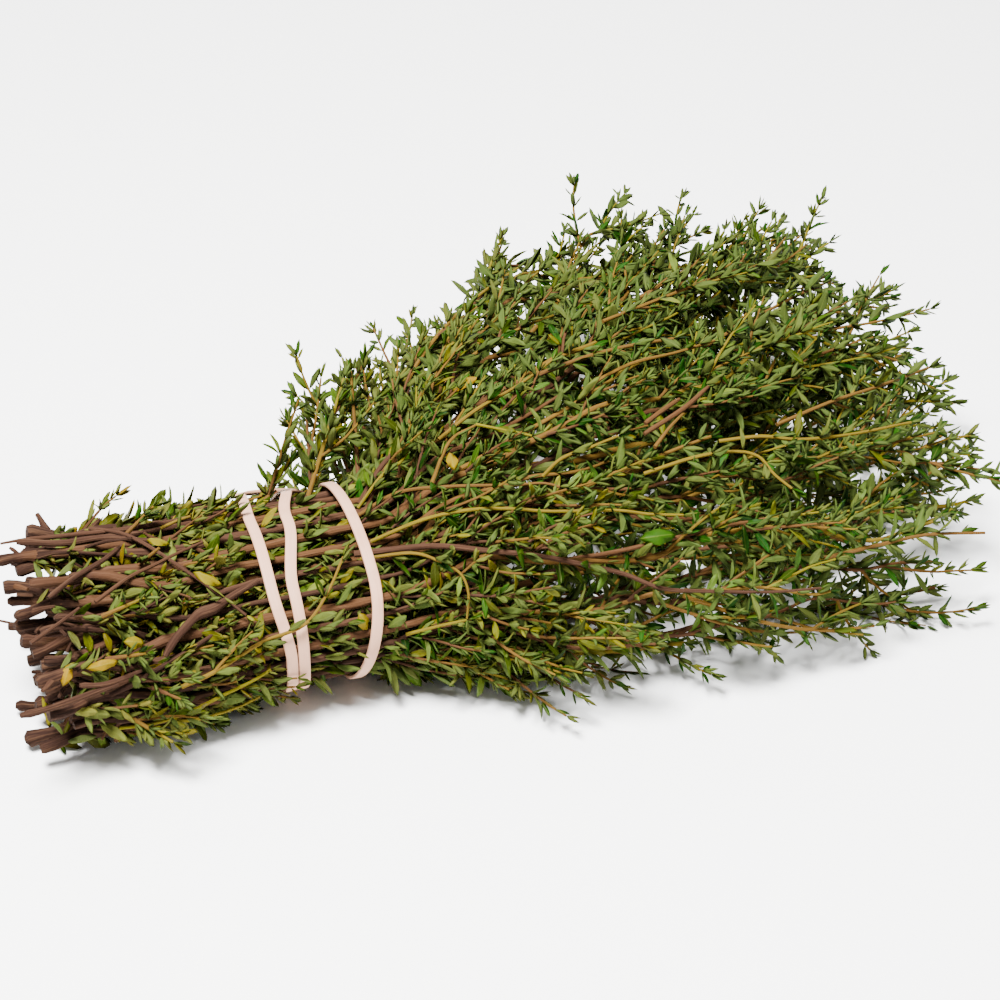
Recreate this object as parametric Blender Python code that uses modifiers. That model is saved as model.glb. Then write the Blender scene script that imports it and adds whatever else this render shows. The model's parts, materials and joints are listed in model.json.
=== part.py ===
"""A bunch of fresh thyme, tied with one rubber band and lying on its side.

The woody cut ends point to -X, the leafy tips fan out towards +X, and the bunch lies on z = 0.
Each sprig is a square woody stem that forks near its cut end, with small paired leaves sunk
into it. The stems stand on rings inside the band, and fan out from there without crossing.
"""

import math
import random
from dataclasses import dataclass, field

import bmesh
import bpy
from mathutils import Matrix, Vector

MM = 0.001

# The tied section: an ellipse through the centres of the outermost stems
TIE_HALF_WIDTH = 27.0 * MM
TIE_HALF_HEIGHT = 18.5 * MM
TIE_HEIGHT = 21.1 * MM
TIE_LOW = (TIE_HEIGHT - TIE_HALF_HEIGHT) / MM
TIE_HIGH = (TIE_HEIGHT + TIE_HALF_HEIGHT) / MM
SPRIGS_ON_RINGS = (1, 3, 6, 9, 12, 15)
OUTERMOST = len(SPRIGS_ON_RINGS) - 1

# Headings in plan, in degrees from +X, and where the stems turn from one to the other
BUTT_HEADING = -8.0
BUTT_FLARE = -12.0
FAN_HEADING = 17.0
FAN_SPREAD = 30.0
BULGE_SPREAD = 50.0
SHOOT_SPREAD = 62.0
FLARE_FULL = 56 * MM
TURN_STARTS = 15 * MM
BULGE_FULL = 40 * MM
FAN_STRAIGHT = 100 * MM

# Distances along a stem from the band: the cut end, the fork, the bends and the tips
CUT_END = -69 * MM
CUT_RAGGED = 6 * MM
CUT_SHORTER_FAR_SIDE = 7 * MM
TIE_HALF_LENGTH = 16 * MM
FORK_AHEAD = 9 * MM
REACH = 219 * MM
SHORTEST_SHARE = 0.84
SHORTER_AT_SIDES = 0.12
SHORTER_IN_FRONT = 0.24
SHORTER_FAR_SIDE = 0.36
SHOOT_REACH = (44 * MM, 88 * MM)
SHORTER_SHOOTS_FAR_SIDE = 0.35
STEM_BENDS = (-TIE_HALF_LENGTH, TIE_HALF_LENGTH, 42 * MM, 76 * MM, 122 * MM)
SHOOT_BENDS = (-37 * MM, -TIE_HALF_LENGTH, TIE_HALF_LENGTH, 42 * MM)
LAST_BEND_TO_TIP = 14 * MM
ROUTE_STEP = 2 * MM
BALL_STEP = 2.5 * MM
SPUR_BALL_STEP = 0.8 * MM

# Heights of the lowest and the highest stems' centres, as (distance from the band, height) in mm
LOW_BUTTS = ((-76, 1.5), (-50, 1.9), (-16, TIE_LOW))
LOW_TIPS = ((16, TIE_LOW), (42, 3.4), (76, 2.2), (122, 0.72), (206, 4.6))
HIGH_BUTTS = ((-76, 40.5), (-16, TIE_HIGH))
HIGH_TIPS = ((16, TIE_HIGH), (42, 48.0), (90, 50.0), (150, 43.0), (206, 33.0))
RESTING_SHARE = 0.06
RESTING_FULL = 46 * MM
LOWEST_CENTRE = 0.6 * MM

# Stem radii, as (share of the way from cut end to tip, radius in mm)
STEM_RADII = ((0.0, 1.6), (0.3, 1.42), (0.6, 1.0), (1.0, 0.45))
SHOOT_RADII = ((0.0, 1.35), (0.5, 1.1), (1.0, 0.45))
STEM_GAP = 0.5 * MM

# A wave that all stems share, then each stem's own curl towards its tip
SHARED_WAVE = 1.6 * MM
WAVE_FULL = 36 * MM
WAVE_LENGTHS = (21 * MM, 34 * MM)
CURL_SIDE = 12 * MM
CURL_UP = 6 * MM
CURL_STARTS = 38 * MM
CURL_POWER = 1.5
CURL_TRIES = 9
CURL_LEFT_EACH_TRY = 0.7
SHOOT_TRIES = 7
SHOOT_HELD_BACK = 0.48
SPUR_TRIES = 6

# Leaves: size, how far they open from the stem, and the places of the pairs
LEAF_LENGTH = (6.4 * MM, 8.6 * MM)
LEAF_WIDTH = 0.36
LEAF_THICKNESS = 0.95 * MM
LEAF_ARCH = 0.5 * MM
LEAF_OPENING = (40, 62)
TIP_OPENING = (16, 30)
LEAF_GAP = 0.3 * MM
TABLE_GAP = 0.15 * MM
PLACE_JITTER = 7 * MM
PAIR_TO_TIP = 7 * MM
TUFT_TO_TIP = 1.5 * MM
TURNS_TRIED = (0, 35, -35, 70, -70, 90)
OUTER_PAIRS = (34 * MM, 74 * MM, 114 * MM, 154 * MM)
MIDDLE_PAIRS = (54 * MM, 100 * MM, 146 * MM)
INNER_PAIRS = (90 * MM, 142 * MM)
SHOOT_PAIRS = (40 * MM,)
FIRST_RING_WITH_SHOOTS = 4

# Short spurs on the outermost stems: three on each stem of the far side, ahead of the band and
# between its turns, and one nearer the cut end elsewhere. Each has the lowest and highest
# place along the stem, length, and opening from the stem in degrees.
SPURS_AHEAD = ((19 * MM, 26 * MM), (20 * MM, 32 * MM), (70, 108))
SPURS_BESIDE = ((4.5 * MM, 8.5 * MM), (20 * MM, 32 * MM), (52, 84))
SPURS_BETWEEN = ((-7.5 * MM, -4 * MM), (14 * MM, 22 * MM), (40, 62))
SPURS_BEHIND = ((-56 * MM, -32 * MM), (9 * MM, 16 * MM), (34, 60))
SPUR_RADII = (0.9 * MM, 0.45 * MM)
FAR_SIDE = 0.3
SPUR_PAIR_SHARE = 0.6

# The rubber band, wound three times round the tied section. Each mark is an angle round the
# section, from the far side over the top, and the strand's distance from the middle in mm.
BAND_WIDTH = 2.8 * MM
BAND_THICKNESS = 0.9 * MM
BAND_OFF_STEMS = 0.45 * MM
BAND_LIFT = 1.5 * MM
STEPS_A_TURN = 26
FIRST_TURN = ((46, -10.8), (91, -12.8), (136, -13.4), (181, -11.5), (226, -10.6), (316, -5))
SECOND_TURN = ((406, 0.8), (451, -4), (496, -8.3), (541, -8.5), (586, -7.6), (660, 0), (720, 14))
THIRD_TURN = ((766, 11.4), (856, 11.4), (946, 6.2), (1020, 8), (1060, 10.5), (1096, 7), (1126, -10.8))
LIFT_MARKS = ((1026, 0), (1042, 1), (1118, 1), (1140, 0))

# The loose twig and the young shoot, as (distance from the band in mm, angle round the section)
TWIG_MARKS = ((-50, 66), (-42, 84), (-32, 116), (-21, 146))
TWIG_RADIUS = 0.85 * MM
TWIG_PAIRS = (0.4,)
YOUNG_MARKS = ((-39, 178), (-31, 173), (-19, 162), (-8, 157), (-1, 143), (5, 126))
YOUNG_RADIUS = 0.8 * MM
YOUNG_PAIRS = (0.45, 0.7, 0.85)
LOOSE_TAPER = 0.45
OVER_STEMS = 3.5 * MM
OVER_BAND = 4.7 * MM

TABLE_WIDTH = 0.6
TABLE_DEPTH = 0.1

SEED = 7

LEAF_GREEN = (0.105, 0.175, 0.045)
BARK_BROWN = (0.155, 0.085, 0.055)
YOUNG_YELLOW = (0.36, 0.34, 0.07)
BAND_PINK = (0.78, 0.58, 0.47)


def eased(share):
    """Share held to 0..1, with a soft start and end."""
    share = min(max(share, 0.0), 1.0)
    return share * share * (3 - 2 * share)


def read_marks(marks, at, ease=eased):
    """Value at a place along (place, value) marks, eased between neighbours."""
    if at <= marks[0][0]:
        return marks[0][1]
    for (start, low), (end, high) in zip(marks, marks[1:]):
        if at <= end:
            return low + (high - low) * ease((at - start) / (end - start))
    return marks[-1][1]


def straight(share):
    """No easing."""
    return share


def clear_scene():
    """Removes every object, so that the script can run again in an open file."""
    for leftover in list(bpy.data.objects):
        bpy.data.objects.remove(leftover)


def new_collection(name):
    """A collection linked to the scene."""
    collection = bpy.data.collections.new(name)
    bpy.context.scene.collection.children.link(collection)
    return collection


def new_material(name, colour, roughness):
    """A plain Principled material."""
    material = bpy.data.materials.new(name)
    material.use_nodes = True
    material.diffuse_color = (*colour, 1.0)
    shader = material.node_tree.nodes["Principled BSDF"]
    shader.inputs["Base Color"].default_value = (*colour, 1.0)
    shader.inputs["Roughness"].default_value = roughness
    shader.inputs["Metallic"].default_value = 0.0
    return material


class Route:
    """Centre line of a stem: bends with their place along the stem, and a radius at each."""

    def __init__(self, places, points, radii):
        self.places = places
        self.points = points
        self.radii = radii

    def at(self, place):
        """Point, direction and radius at a place."""
        last = len(self.places) - 2
        index = next((i for i in range(last) if place <= self.places[i + 1]), last)
        start, end = self.places[index], self.places[index + 1]
        share = min(max((place - start) / (end - start), 0.0), 1.0)
        point = self.points[index].lerp(self.points[index + 1], share)
        direction = (self.points[index + 1] - self.points[index]).normalized()
        radius = self.radii[index] + (self.radii[index + 1] - self.radii[index]) * share
        return point, direction, radius

    def balls(self, step=BALL_STEP):
        """Balls that fill the stem, as (centre, radius)."""
        length = self.places[-1] - self.places[0]
        count = max(2, math.ceil(length / step))
        stations = (self.at(self.places[0] + length * i / count) for i in range(count + 1))
        return [(point, radius) for point, _, radius in stations]


class TakenSpace:
    """Room already taken, held as balls in a grid, so that each piece keeps clear of the others."""

    CELL = 6 * MM

    def __init__(self):
        self.cells = {}

    def key(self, point):
        """Grid cell of a point."""
        return tuple(math.floor(c / self.CELL) for c in point)

    def add(self, owner, balls):
        """Takes the room of these balls for a named owner."""
        for centre, radius in balls:
            self.cells.setdefault(self.key(centre), []).append((owner, centre, radius))

    def is_clear(self, owner, balls, gap):
        """True if no ball comes nearer than gap to a ball of another owner."""
        for centre, radius in balls:
            x, y, z = self.key(centre)
            near = (
                taken
                for i in (x - 1, x, x + 1)
                for j in (y - 1, y, y + 1)
                for k in (z - 1, z, z + 1)
                for taken in self.cells.get((i, j, k), ())
            )
            for other, where, other_radius in near:
                if other != owner and (where - centre).length < radius + other_radius + gap:
                    return False
        return True


def heading_at(place, across, bulge):
    """Direction in plan, in radians, of a stem that is this far across the bunch (-1 to 1).

    Past the band the stems bulge outwards, then straighten to the fan's own spread.
    """
    flare = eased((-place - TIE_HALF_LENGTH) / (FLARE_FULL - TIE_HALF_LENGTH))
    butt = BUTT_HEADING + BUTT_FLARE * across * flare
    settled = eased((place - BULGE_FULL) / (FAN_STRAIGHT - BULGE_FULL))
    fan = FAN_HEADING + (bulge + (FAN_SPREAD - bulge) * settled) * across
    turn = eased((place - TURN_STARTS) / (BULGE_FULL - TURN_STARTS))
    return math.radians(butt + (fan - butt) * turn)


def stem_height(place, up):
    """Height of a stem's centre. up is -1 for the lowest stems and 1 for the highest."""
    resting = RESTING_SHARE * eased((place - TIE_HALF_LENGTH) / (RESTING_FULL - TIE_HALF_LENGTH))
    share = max(0.0, ((up + 1) / 2 - resting) / (1 - resting))
    low = read_marks(LOW_BUTTS + LOW_TIPS, place / MM) * MM
    high = read_marks(HIGH_BUTTS + HIGH_TIPS, place / MM) * MM
    return low + (high - low) * share


def tie_axes():
    """Directions along the tied section, across it and up."""
    tie = math.radians(BUTT_HEADING)
    along = Vector((math.cos(tie), math.sin(tie), 0))
    across = Vector((-math.sin(tie), math.cos(tie), 0))
    return along, across, Vector((0, 0, 1))


def plan_point(across, place, bulge):
    """Where a stem is in plan, this far from the band along it."""
    x, y, _ = tie_axes()[1] * across * TIE_HALF_WIDTH
    steps = max(1, round(abs(place) / ROUTE_STEP))
    step = place / steps
    for i in range(steps):
        heading = heading_at((i + 0.5) * step, across, bulge)
        x += step * math.cos(heading)
        y += step * math.sin(heading)
    return x, y


def lay_route(slot, start, end, bends, bulge, radii_marks, curl=(0.0, 0.0)):
    """Route of one stem from start to end, as distances from the band."""
    across, up = slot
    places = [start, *(bend for bend in bends if bend < end - LAST_BEND_TO_TIP), end]
    points, radii = [], []
    for place in places:
        x, y = plan_point(across, place, bulge)
        wave = math.sin(x / WAVE_LENGTHS[0] + y / WAVE_LENGTHS[1])
        wave *= SHARED_WAVE * eased((abs(place) - TIE_HALF_LENGTH) / (WAVE_FULL - TIE_HALF_LENGTH))
        bend = max(0.0, (place - CURL_STARTS) / (REACH - CURL_STARTS)) ** CURL_POWER
        z = stem_height(place, up) + curl[1] * bend * CURL_UP
        points.append(Vector((x, y + wave + curl[0] * bend * CURL_SIDE, max(z, LOWEST_CENTRE))))
        radii.append(read_marks(radii_marks, (place - start) / (end - start), straight) * MM)
    return Route(places, points, radii)


def tie_slots():
    """(across, up) of each sprig's stem and of its side shoot, ring by ring from the middle."""
    for ring, count in enumerate(SPRIGS_ON_RINGS):
        for i in range(count):
            half_step = 0.5 if ring % 2 == 0 else 0.0
            angle = -math.pi / 2 + 2 * math.pi * (i + half_step) / count
            beside = angle + math.pi / count
            share = ring / OUTERMOST
            stem = (share * math.cos(angle), share * math.sin(angle))
            shoot = (share * math.cos(beside), share * math.sin(beside))
            yield ring, stem, shoot if ring >= FIRST_RING_WITH_SHOOTS else None


def lay_main_stem(name, slot, rng, taken):
    """A sprig's main stem, curled as far as its neighbours leave it clear."""
    start = CUT_END + rng.uniform(-CUT_RAGGED, CUT_RAGGED) + CUT_SHORTER_FAR_SIDE * max(0.0, slot[0])
    shorter = SHORTER_AT_SIDES * slot[0] ** 4 + SHORTER_IN_FRONT * max(0.0, -slot[0])
    shorter += SHORTER_FAR_SIDE * max(0.0, slot[0]) ** 8
    reach = REACH * (1 - shorter) * rng.uniform(SHORTEST_SHARE, 1.0)
    curl = (rng.uniform(-1, 1), rng.uniform(-1, 1))
    for _ in range(CURL_TRIES):
        stem = lay_route(slot, start, reach, STEM_BENDS, BULGE_SPREAD, STEM_RADII, curl)
        if taken.is_clear(name, stem.balls(), STEM_GAP):
            break
        curl = (curl[0] * CURL_LEFT_EACH_TRY, curl[1] * CURL_LEFT_EACH_TRY)
    taken.add(name, stem.balls())
    return stem


def lay_side_shoot(name, slot, stem, rng, taken):
    """A side shoot that forks from its stem near the cut end, or None where there is no room."""
    start = stem.places[0] + FORK_AHEAD
    reach = rng.uniform(*SHOOT_REACH) * (1 - SHORTER_SHOOTS_FAR_SIDE * max(0.0, slot[0]))
    for attempt in range(SHOOT_TRIES):
        tried = attempt / (SHOOT_TRIES - 1)
        bulge = SHOOT_SPREAD + (BULGE_SPREAD - SHOOT_SPREAD) * tried
        end = reach * (1 - SHOOT_HELD_BACK * tried)
        shoot = lay_route(slot, start, end, SHOOT_BENDS, bulge, SHOOT_RADII)
        shoot.points[0] = stem.at(start)[0]
        if taken.is_clear(name, shoot.balls(), STEM_GAP):
            taken.add(name, shoot.balls())
            return shoot
    return None


def lay_spur(name, slot, ranges, stem, rng, taken):
    """A short straight spur that leans out of the bunch, or None where there is no room."""
    _, sideways, upwards = tie_axes()
    outward = (sideways * slot[0] + upwards * slot[1]).normalized()
    for _ in range(SPUR_TRIES):
        place, length, opening = (rng.uniform(*limits) for limits in ranges)
        opening = math.radians(opening)
        root, direction, _ = stem.at(place)
        tip = root + (direction * math.cos(opening) + outward * math.sin(opening)) * length
        spur = Route([0.0, length], [root, tip], list(SPUR_RADII))
        balls = spur.balls(SPUR_BALL_STEP)
        if tip.z > LEAF_WIDTH * LEAF_LENGTH[1] and taken.is_clear(name, balls, LEAF_GAP):
            taken.add(name, balls)
            return spur
    return None


@dataclass
class Sprig:
    """A sprig's routes, with its ring and its place across and up the tied section."""

    name: str
    ring: int
    slot: tuple
    stem: Route
    shoot: Route = None
    spurs: list = field(default_factory=list)

    def stem_pairs(self):
        """Places of the leaf pairs on the main stem: more on the outer rings, which show."""
        if self.ring == OUTERMOST:
            return OUTER_PAIRS
        return MIDDLE_PAIRS if self.ring == OUTERMOST - 1 else INNER_PAIRS


def lay_sprigs(loose, rng, taken):
    """Every sprig, each clear of all the others, of the band and of the loose pieces."""
    slots = list(tie_slots())
    sprigs = []
    for number, (ring, slot, _) in enumerate(slots, 1):
        name = f"sprig_{number:02d}"
        sprigs.append(Sprig(name, ring, slot, lay_main_stem(name, slot, rng, taken)))
    for sprig, (_, _, shoot_slot) in zip(sprigs, slots):
        if shoot_slot:
            sprig.shoot = lay_side_shoot(sprig.name, shoot_slot, sprig.stem, rng, taken)
    taken.add("rubber_band", band_balls())
    for name, route in loose.items():
        taken.add(name, route.balls())
    for sprig in sprigs:
        if sprig.ring == OUTERMOST:
            far = sprig.slot[0] > FAR_SIDE
            kinds = (SPURS_AHEAD, SPURS_BESIDE, SPURS_BETWEEN) if far else (SPURS_BEHIND,)
            laid = [lay_spur(sprig.name, sprig.slot, kind, sprig.stem, rng, taken) for kind in kinds]
            sprig.spurs = [spur for spur in laid if spur]
    return sprigs


def tie_point(angle, place, off):
    """Point and outward direction on the tied section, off the outermost stems' centres."""
    along, across, up = tie_axes()
    turn = math.radians(angle)
    centre = across * (TIE_HALF_WIDTH * math.cos(turn)) + up * (TIE_HALF_HEIGHT * math.sin(turn))
    outward = across * (math.cos(turn) / TIE_HALF_WIDTH) + up * (math.sin(turn) / TIE_HALF_HEIGHT)
    outward.normalize()
    return along * place + centre + up * TIE_HEIGHT + outward * off, outward


def tube(name, route, collection):
    """A square tube with capped ends along a route, as a mesh."""
    curve = bpy.data.curves.new(name, "CURVE")
    curve.dimensions = "3D"
    curve.bevel_depth = 1.0
    curve.bevel_resolution = 0
    curve.use_fill_caps = True
    spline = curve.splines.new("POLY")
    spline.points.add(len(route.points) - 1)
    for bend, point, radius in zip(spline.points, route.points, route.radii):
        bend.co = (*point, 1.0)
        bend.radius = radius
    guide = bpy.data.objects.new(name + "_guide", curve)
    collection.objects.link(guide)
    graph = bpy.context.evaluated_depsgraph_get()
    mesh = bpy.data.meshes.new_from_object(guide.evaluated_get(graph))
    shell = bmesh.new()
    shell.from_mesh(mesh)
    bmesh.ops.remove_doubles(shell, verts=shell.verts, dist=0.005 * MM)
    bmesh.ops.recalc_face_normals(shell, faces=shell.faces)
    shell.to_mesh(mesh)
    shell.free()
    solid = bpy.data.objects.new(name, mesh)
    solid.matrix_world = guide.matrix_world
    bpy.data.objects.remove(guide)
    bpy.data.curves.remove(curve)
    collection.objects.link(solid)
    return solid


def leaf_mesh():
    """A pointed blade, one unit long, wide and deep: flat on top, keeled below, root at zero."""
    blade = bmesh.new()
    bmesh.ops.create_uvsphere(blade, u_segments=3, v_segments=3, radius=1.0)
    for vert in blade.verts:
        on_rim = math.hypot(vert.co.x, vert.co.y) > 0.5
        towards_tip = vert.co.z > 0
        keel = on_rim and vert.co.y > 0
        fullness = (0.8 if towards_tip else 1.0) if on_rim else 0.0
        along = (0.72 if towards_tip else 0.34) if on_rim else float(towards_tip)
        side = 0.0 if keel or not on_rim else math.copysign(0.5, vert.co.x)
        vert.co = (along, side * fullness, -fullness if keel else 0.0)
        vert.co.z -= LEAF_ARCH / LEAF_THICKNESS * along * along
    bmesh.ops.recalc_face_normals(blade, faces=blade.faces)
    mesh = bpy.data.meshes.new("leaf_blade")
    blade.to_mesh(mesh)
    blade.free()
    return mesh


def leaf_place(root, pointing, stem_direction, length):
    """Places the unit blade: along pointing, as wide as its length asks, top facing the tip."""
    width_axis = stem_direction.cross(pointing).normalized()
    top_axis = pointing.cross(width_axis)
    if top_axis.dot(stem_direction) < 0:
        width_axis, top_axis = -width_axis, -top_axis
    scaled = Matrix.Diagonal((length, length * LEAF_WIDTH, LEAF_THICKNESS, 1.0))
    turned = Matrix((pointing, width_axis, top_axis)).transposed().to_4x4()
    return Matrix.Translation(root) @ turned @ scaled


def leaf_balls(root, pointing, length):
    """Balls that fill a blade, apart from its root."""
    half_width = length * LEAF_WIDTH / 2
    shares = ((0.38, 0.95), (0.55, 1.0), (0.74, 0.85), (0.97, 0.3))
    return [(root + pointing * length * along, half_width * full) for along, full in shares]


def grow_leaf(name, route, site, taken, blade, collection):
    """Adds one leaf to a stem if some turn round the stem leaves it clear."""
    place, turn, opening, length = site
    root, direction, _ = route.at(place)
    side = direction.orthogonal().normalized()
    for extra in TURNS_TRIED:
        outward = Matrix.Rotation(turn + math.radians(extra), 3, direction) @ side
        pointing = (direction * math.cos(opening) + outward * math.sin(opening)).normalized()
        matrix = leaf_place(root, pointing, direction, length)
        if min((matrix @ vert.co).z for vert in blade.vertices) < TABLE_GAP:
            continue
        balls = leaf_balls(root, pointing, length)
        if taken.is_clear(name, balls, LEAF_GAP):
            taken.add(name, balls)
            leaf = bpy.data.objects.new(name + "_leaf", blade)
            leaf.matrix_world = matrix
            collection.objects.link(leaf)
            return


def leaf_sites(route, pairs, rng, jitter=PLACE_JITTER):
    """(place, turn, opening, length) of each leaf: crossed pairs, then two at the tip."""
    end = route.places[-1]
    turn = rng.uniform(0, math.pi)
    for pair in pairs:
        place = pair + rng.uniform(-1, 1) * jitter
        turn += math.pi / 2 + rng.uniform(-0.3, 0.3)
        if place < end - PAIR_TO_TIP:
            for half_turn in (0, math.pi):
                opening = math.radians(rng.uniform(*LEAF_OPENING))
                yield place, turn + half_turn, opening, rng.uniform(*LEAF_LENGTH)
    for half_turn in (0, math.pi):
        opening = math.radians(rng.uniform(*TIP_OPENING))
        yield end - TUFT_TO_TIP, turn + math.pi / 2 + half_turn, opening, LEAF_LENGTH[0]


def replace_by_evaluated(solid):
    """Applies an object's modifiers."""
    graph = bpy.context.evaluated_depsgraph_get()
    mesh = bpy.data.meshes.new_from_object(solid.evaluated_get(graph))
    solid.modifiers.clear()
    solid.data = mesh


def join_all(base, extras):
    """Joins every object of a collection into base with one Boolean union."""
    union = base.modifiers.new("join", "BOOLEAN")
    union.operation = "UNION"
    union.solver = "EXACT"
    union.operand_type = "COLLECTION"
    union.collection = extras
    replace_by_evaluated(base)
    for extra in list(extras.objects):
        bpy.data.objects.remove(extra)


def flatten_below(solid, table):
    """Cuts a flat spot where a piece presses on the table."""
    if min(vert.co.z for vert in solid.data.vertices) < 0:
        cut = solid.modifiers.new("flat_spot", "BOOLEAN")
        cut.operation = "DIFFERENCE"
        cut.solver = "EXACT"
        cut.object = table
        replace_by_evaluated(solid)


def build_leafy(name, branches, taken, blade, collections, material):
    """One leafy piece: its stems, the main one first, and their leaves, joined into one solid."""
    parts, extras = collections
    stem = tube(name, branches[0][0], parts)
    for route, _ in branches[1:]:
        tube(name + "_branch", route, extras)
    for route, sites in branches:
        for site in sites:
            grow_leaf(name, route, site, taken, blade, extras)
    join_all(stem, extras)
    stem.data.materials.clear()
    stem.data.materials.append(material)


def build_sprig(sprig, rng, taken, blade, collections, material):
    """A sprig with the leaves of its stem, spurs and side shoot."""
    branches = [(sprig.stem, list(leaf_sites(sprig.stem, sprig.stem_pairs(), rng)))]
    for spur in sprig.spurs:
        pairs = [spur.places[-1] * SPUR_PAIR_SHARE]
        branches.append((spur, list(leaf_sites(spur, pairs, rng, jitter=0.0))))
    if sprig.shoot:
        branches.append((sprig.shoot, list(leaf_sites(sprig.shoot, SHOOT_PAIRS, rng))))
    build_leafy(sprig.name, branches, taken, blade, collections, material)


def build_loose(name, route, shares, rng, taken, blade, collections, material):
    """A loose piece with leaf pairs at these shares of its length."""
    pairs = [route.places[-1] * share for share in shares]
    branches = [(route, list(leaf_sites(route, pairs, rng, jitter=0.0)))]
    build_leafy(name, branches, taken, blade, collections, material)


def build_table(cutters):
    """The block under the table's top, which flattens what presses on it."""
    bpy.ops.mesh.primitive_cube_add(size=1.0, location=(0.05, 0, -TABLE_DEPTH / 2))
    table = bpy.context.object
    table.name = "table"
    table.data.transform(Matrix.Diagonal((TABLE_WIDTH, TABLE_WIDTH, TABLE_DEPTH, 1.0)))
    table.hide_render = True
    table.display_type = "WIRE"
    for home in list(table.users_collection):
        home.objects.unlink(table)
    cutters.objects.link(table)
    return table


def band_stations(count):
    """Middle of the band and the direction across it, at that many steps round its three turns."""
    marks = FIRST_TURN + SECOND_TURN + THIRD_TURN
    start = marks[0][0]
    off = STEM_RADII[1][1] * MM + BAND_OFF_STEMS + BAND_THICKNESS / 2
    middles = []
    for i in range(count):
        angle = start + 1080 * i / count
        lift_angle = angle + 1080 if angle < start + 90 else angle
        lift = read_marks(LIFT_MARKS, lift_angle) * BAND_LIFT
        middles.append(tie_point(angle, read_marks(marks, angle) * MM, off + lift))
    stations = []
    for i, (point, outward) in enumerate(middles):
        path = middles[(i + 1) % count][0] - middles[i - 1][0]
        stations.append((point, path.cross(outward).normalized()))
    return stations


def band_balls():
    """Balls that fill the band."""
    radius = BAND_THICKNESS / 2
    reach = BAND_WIDTH / 2 - radius
    stations = band_stations(4 * 3 * STEPS_A_TURN)
    return [(point + across * reach * side, radius) for point, across in stations for side in (-1, 0, 1)]


def build_band(parts, material):
    """The rubber band: one closed strip wound three times, given its thickness."""
    stations = band_stations(3 * STEPS_A_TURN)
    count = len(stations)
    strip = bmesh.new()
    bmesh.ops.create_grid(strip, x_segments=count, y_segments=1, size=1.0)
    for vert in strip.verts:
        point, across = stations[round((vert.co.x + 1) / 2 * count) % count]
        vert.co = point + across * math.copysign(BAND_WIDTH / 2, vert.co.y)
    bmesh.ops.remove_doubles(strip, verts=strip.verts, dist=0.005 * MM)
    mesh = bpy.data.meshes.new("rubber_band")
    strip.to_mesh(mesh)
    strip.free()
    band = bpy.data.objects.new("rubber_band", mesh)
    parts.objects.link(band)
    thickness = band.modifiers.new("thickness", "SOLIDIFY")
    thickness.thickness = BAND_THICKNESS
    thickness.offset = 0.0
    replace_by_evaluated(band)
    band.data.materials.append(material)
    return band


def lay_loose(marks, radius, off):
    """Route of a loose piece that lies on the outside of the bunch."""
    points = [tie_point(angle, place * MM, off)[0] for place, angle in marks]
    places = [0.0]
    for before, after in zip(points, points[1:]):
        places.append(places[-1] + (after - before).length)
    radii = [radius * (1 - LOOSE_TAPER * place / places[-1]) for place in places]
    return Route(places, points, radii)


def settle(solids):
    """Moves the whole bunch so that the origin is under the middle of its box."""
    corners = [vert.co for solid in solids for vert in solid.data.vertices]
    low = Vector(min(corner[i] for corner in corners) for i in range(3))
    high = Vector(max(corner[i] for corner in corners) for i in range(3))
    shift = Matrix.Translation((-(low.x + high.x) / 2, -(low.y + high.y) / 2, -low.z))
    for solid in solids:
        solid.data.transform(shift)


def main():
    """Builds the bunch."""
    clear_scene()
    parts = new_collection("thyme_bundle")
    extras = new_collection("to_join")
    table = build_table(new_collection("cutters"))
    green = new_material("thyme_green", LEAF_GREEN, 0.6)
    bark = new_material("thyme_bark", BARK_BROWN, 0.75)
    yellow = new_material("young_yellow_green", YOUNG_YELLOW, 0.6)
    pink = new_material("rubber_pale_pink", BAND_PINK, 0.5)
    rng = random.Random(SEED)
    taken = TakenSpace()
    blade = leaf_mesh()
    collections = (parts, extras)

    twig = lay_loose(TWIG_MARKS, TWIG_RADIUS, OVER_STEMS)
    young = lay_loose(YOUNG_MARKS, YOUNG_RADIUS, OVER_BAND)
    sprigs = lay_sprigs({"loose_twig": twig, "young_shoot": young}, rng, taken)
    for sprig in sprigs:
        build_sprig(sprig, rng, taken, blade, collections, green)
    build_loose("loose_twig", twig, TWIG_PAIRS, rng, taken, blade, collections, bark)
    build_loose("young_shoot", young, YOUNG_PAIRS, rng, taken, blade, collections, yellow)
    build_band(parts, pink)
    for solid in parts.objects:
        flatten_below(solid, table)
    settle(parts.objects)


main()
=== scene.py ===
"""A bunch of fresh thyme, tied with one rubber band and lying on its side.

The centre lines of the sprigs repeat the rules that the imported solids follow, so each fine sprig
lies where its solid lies. Side branches, small leaves, bark and colour are added along them.
"""

import json
import logging
import math
import random
from collections.abc import Callable, Iterable, Iterator
from dataclasses import dataclass, field, replace
from enum import Enum
from typing import Union

import bmesh
import bpy
import numpy as np
from bpy.types import (
    Collection, ColorRamp, Material, Mesh, Node,
    NodeSocket, NodeTree, Object, bpy_prop_collection,
)
from mathutils import Matrix, Vector

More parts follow.
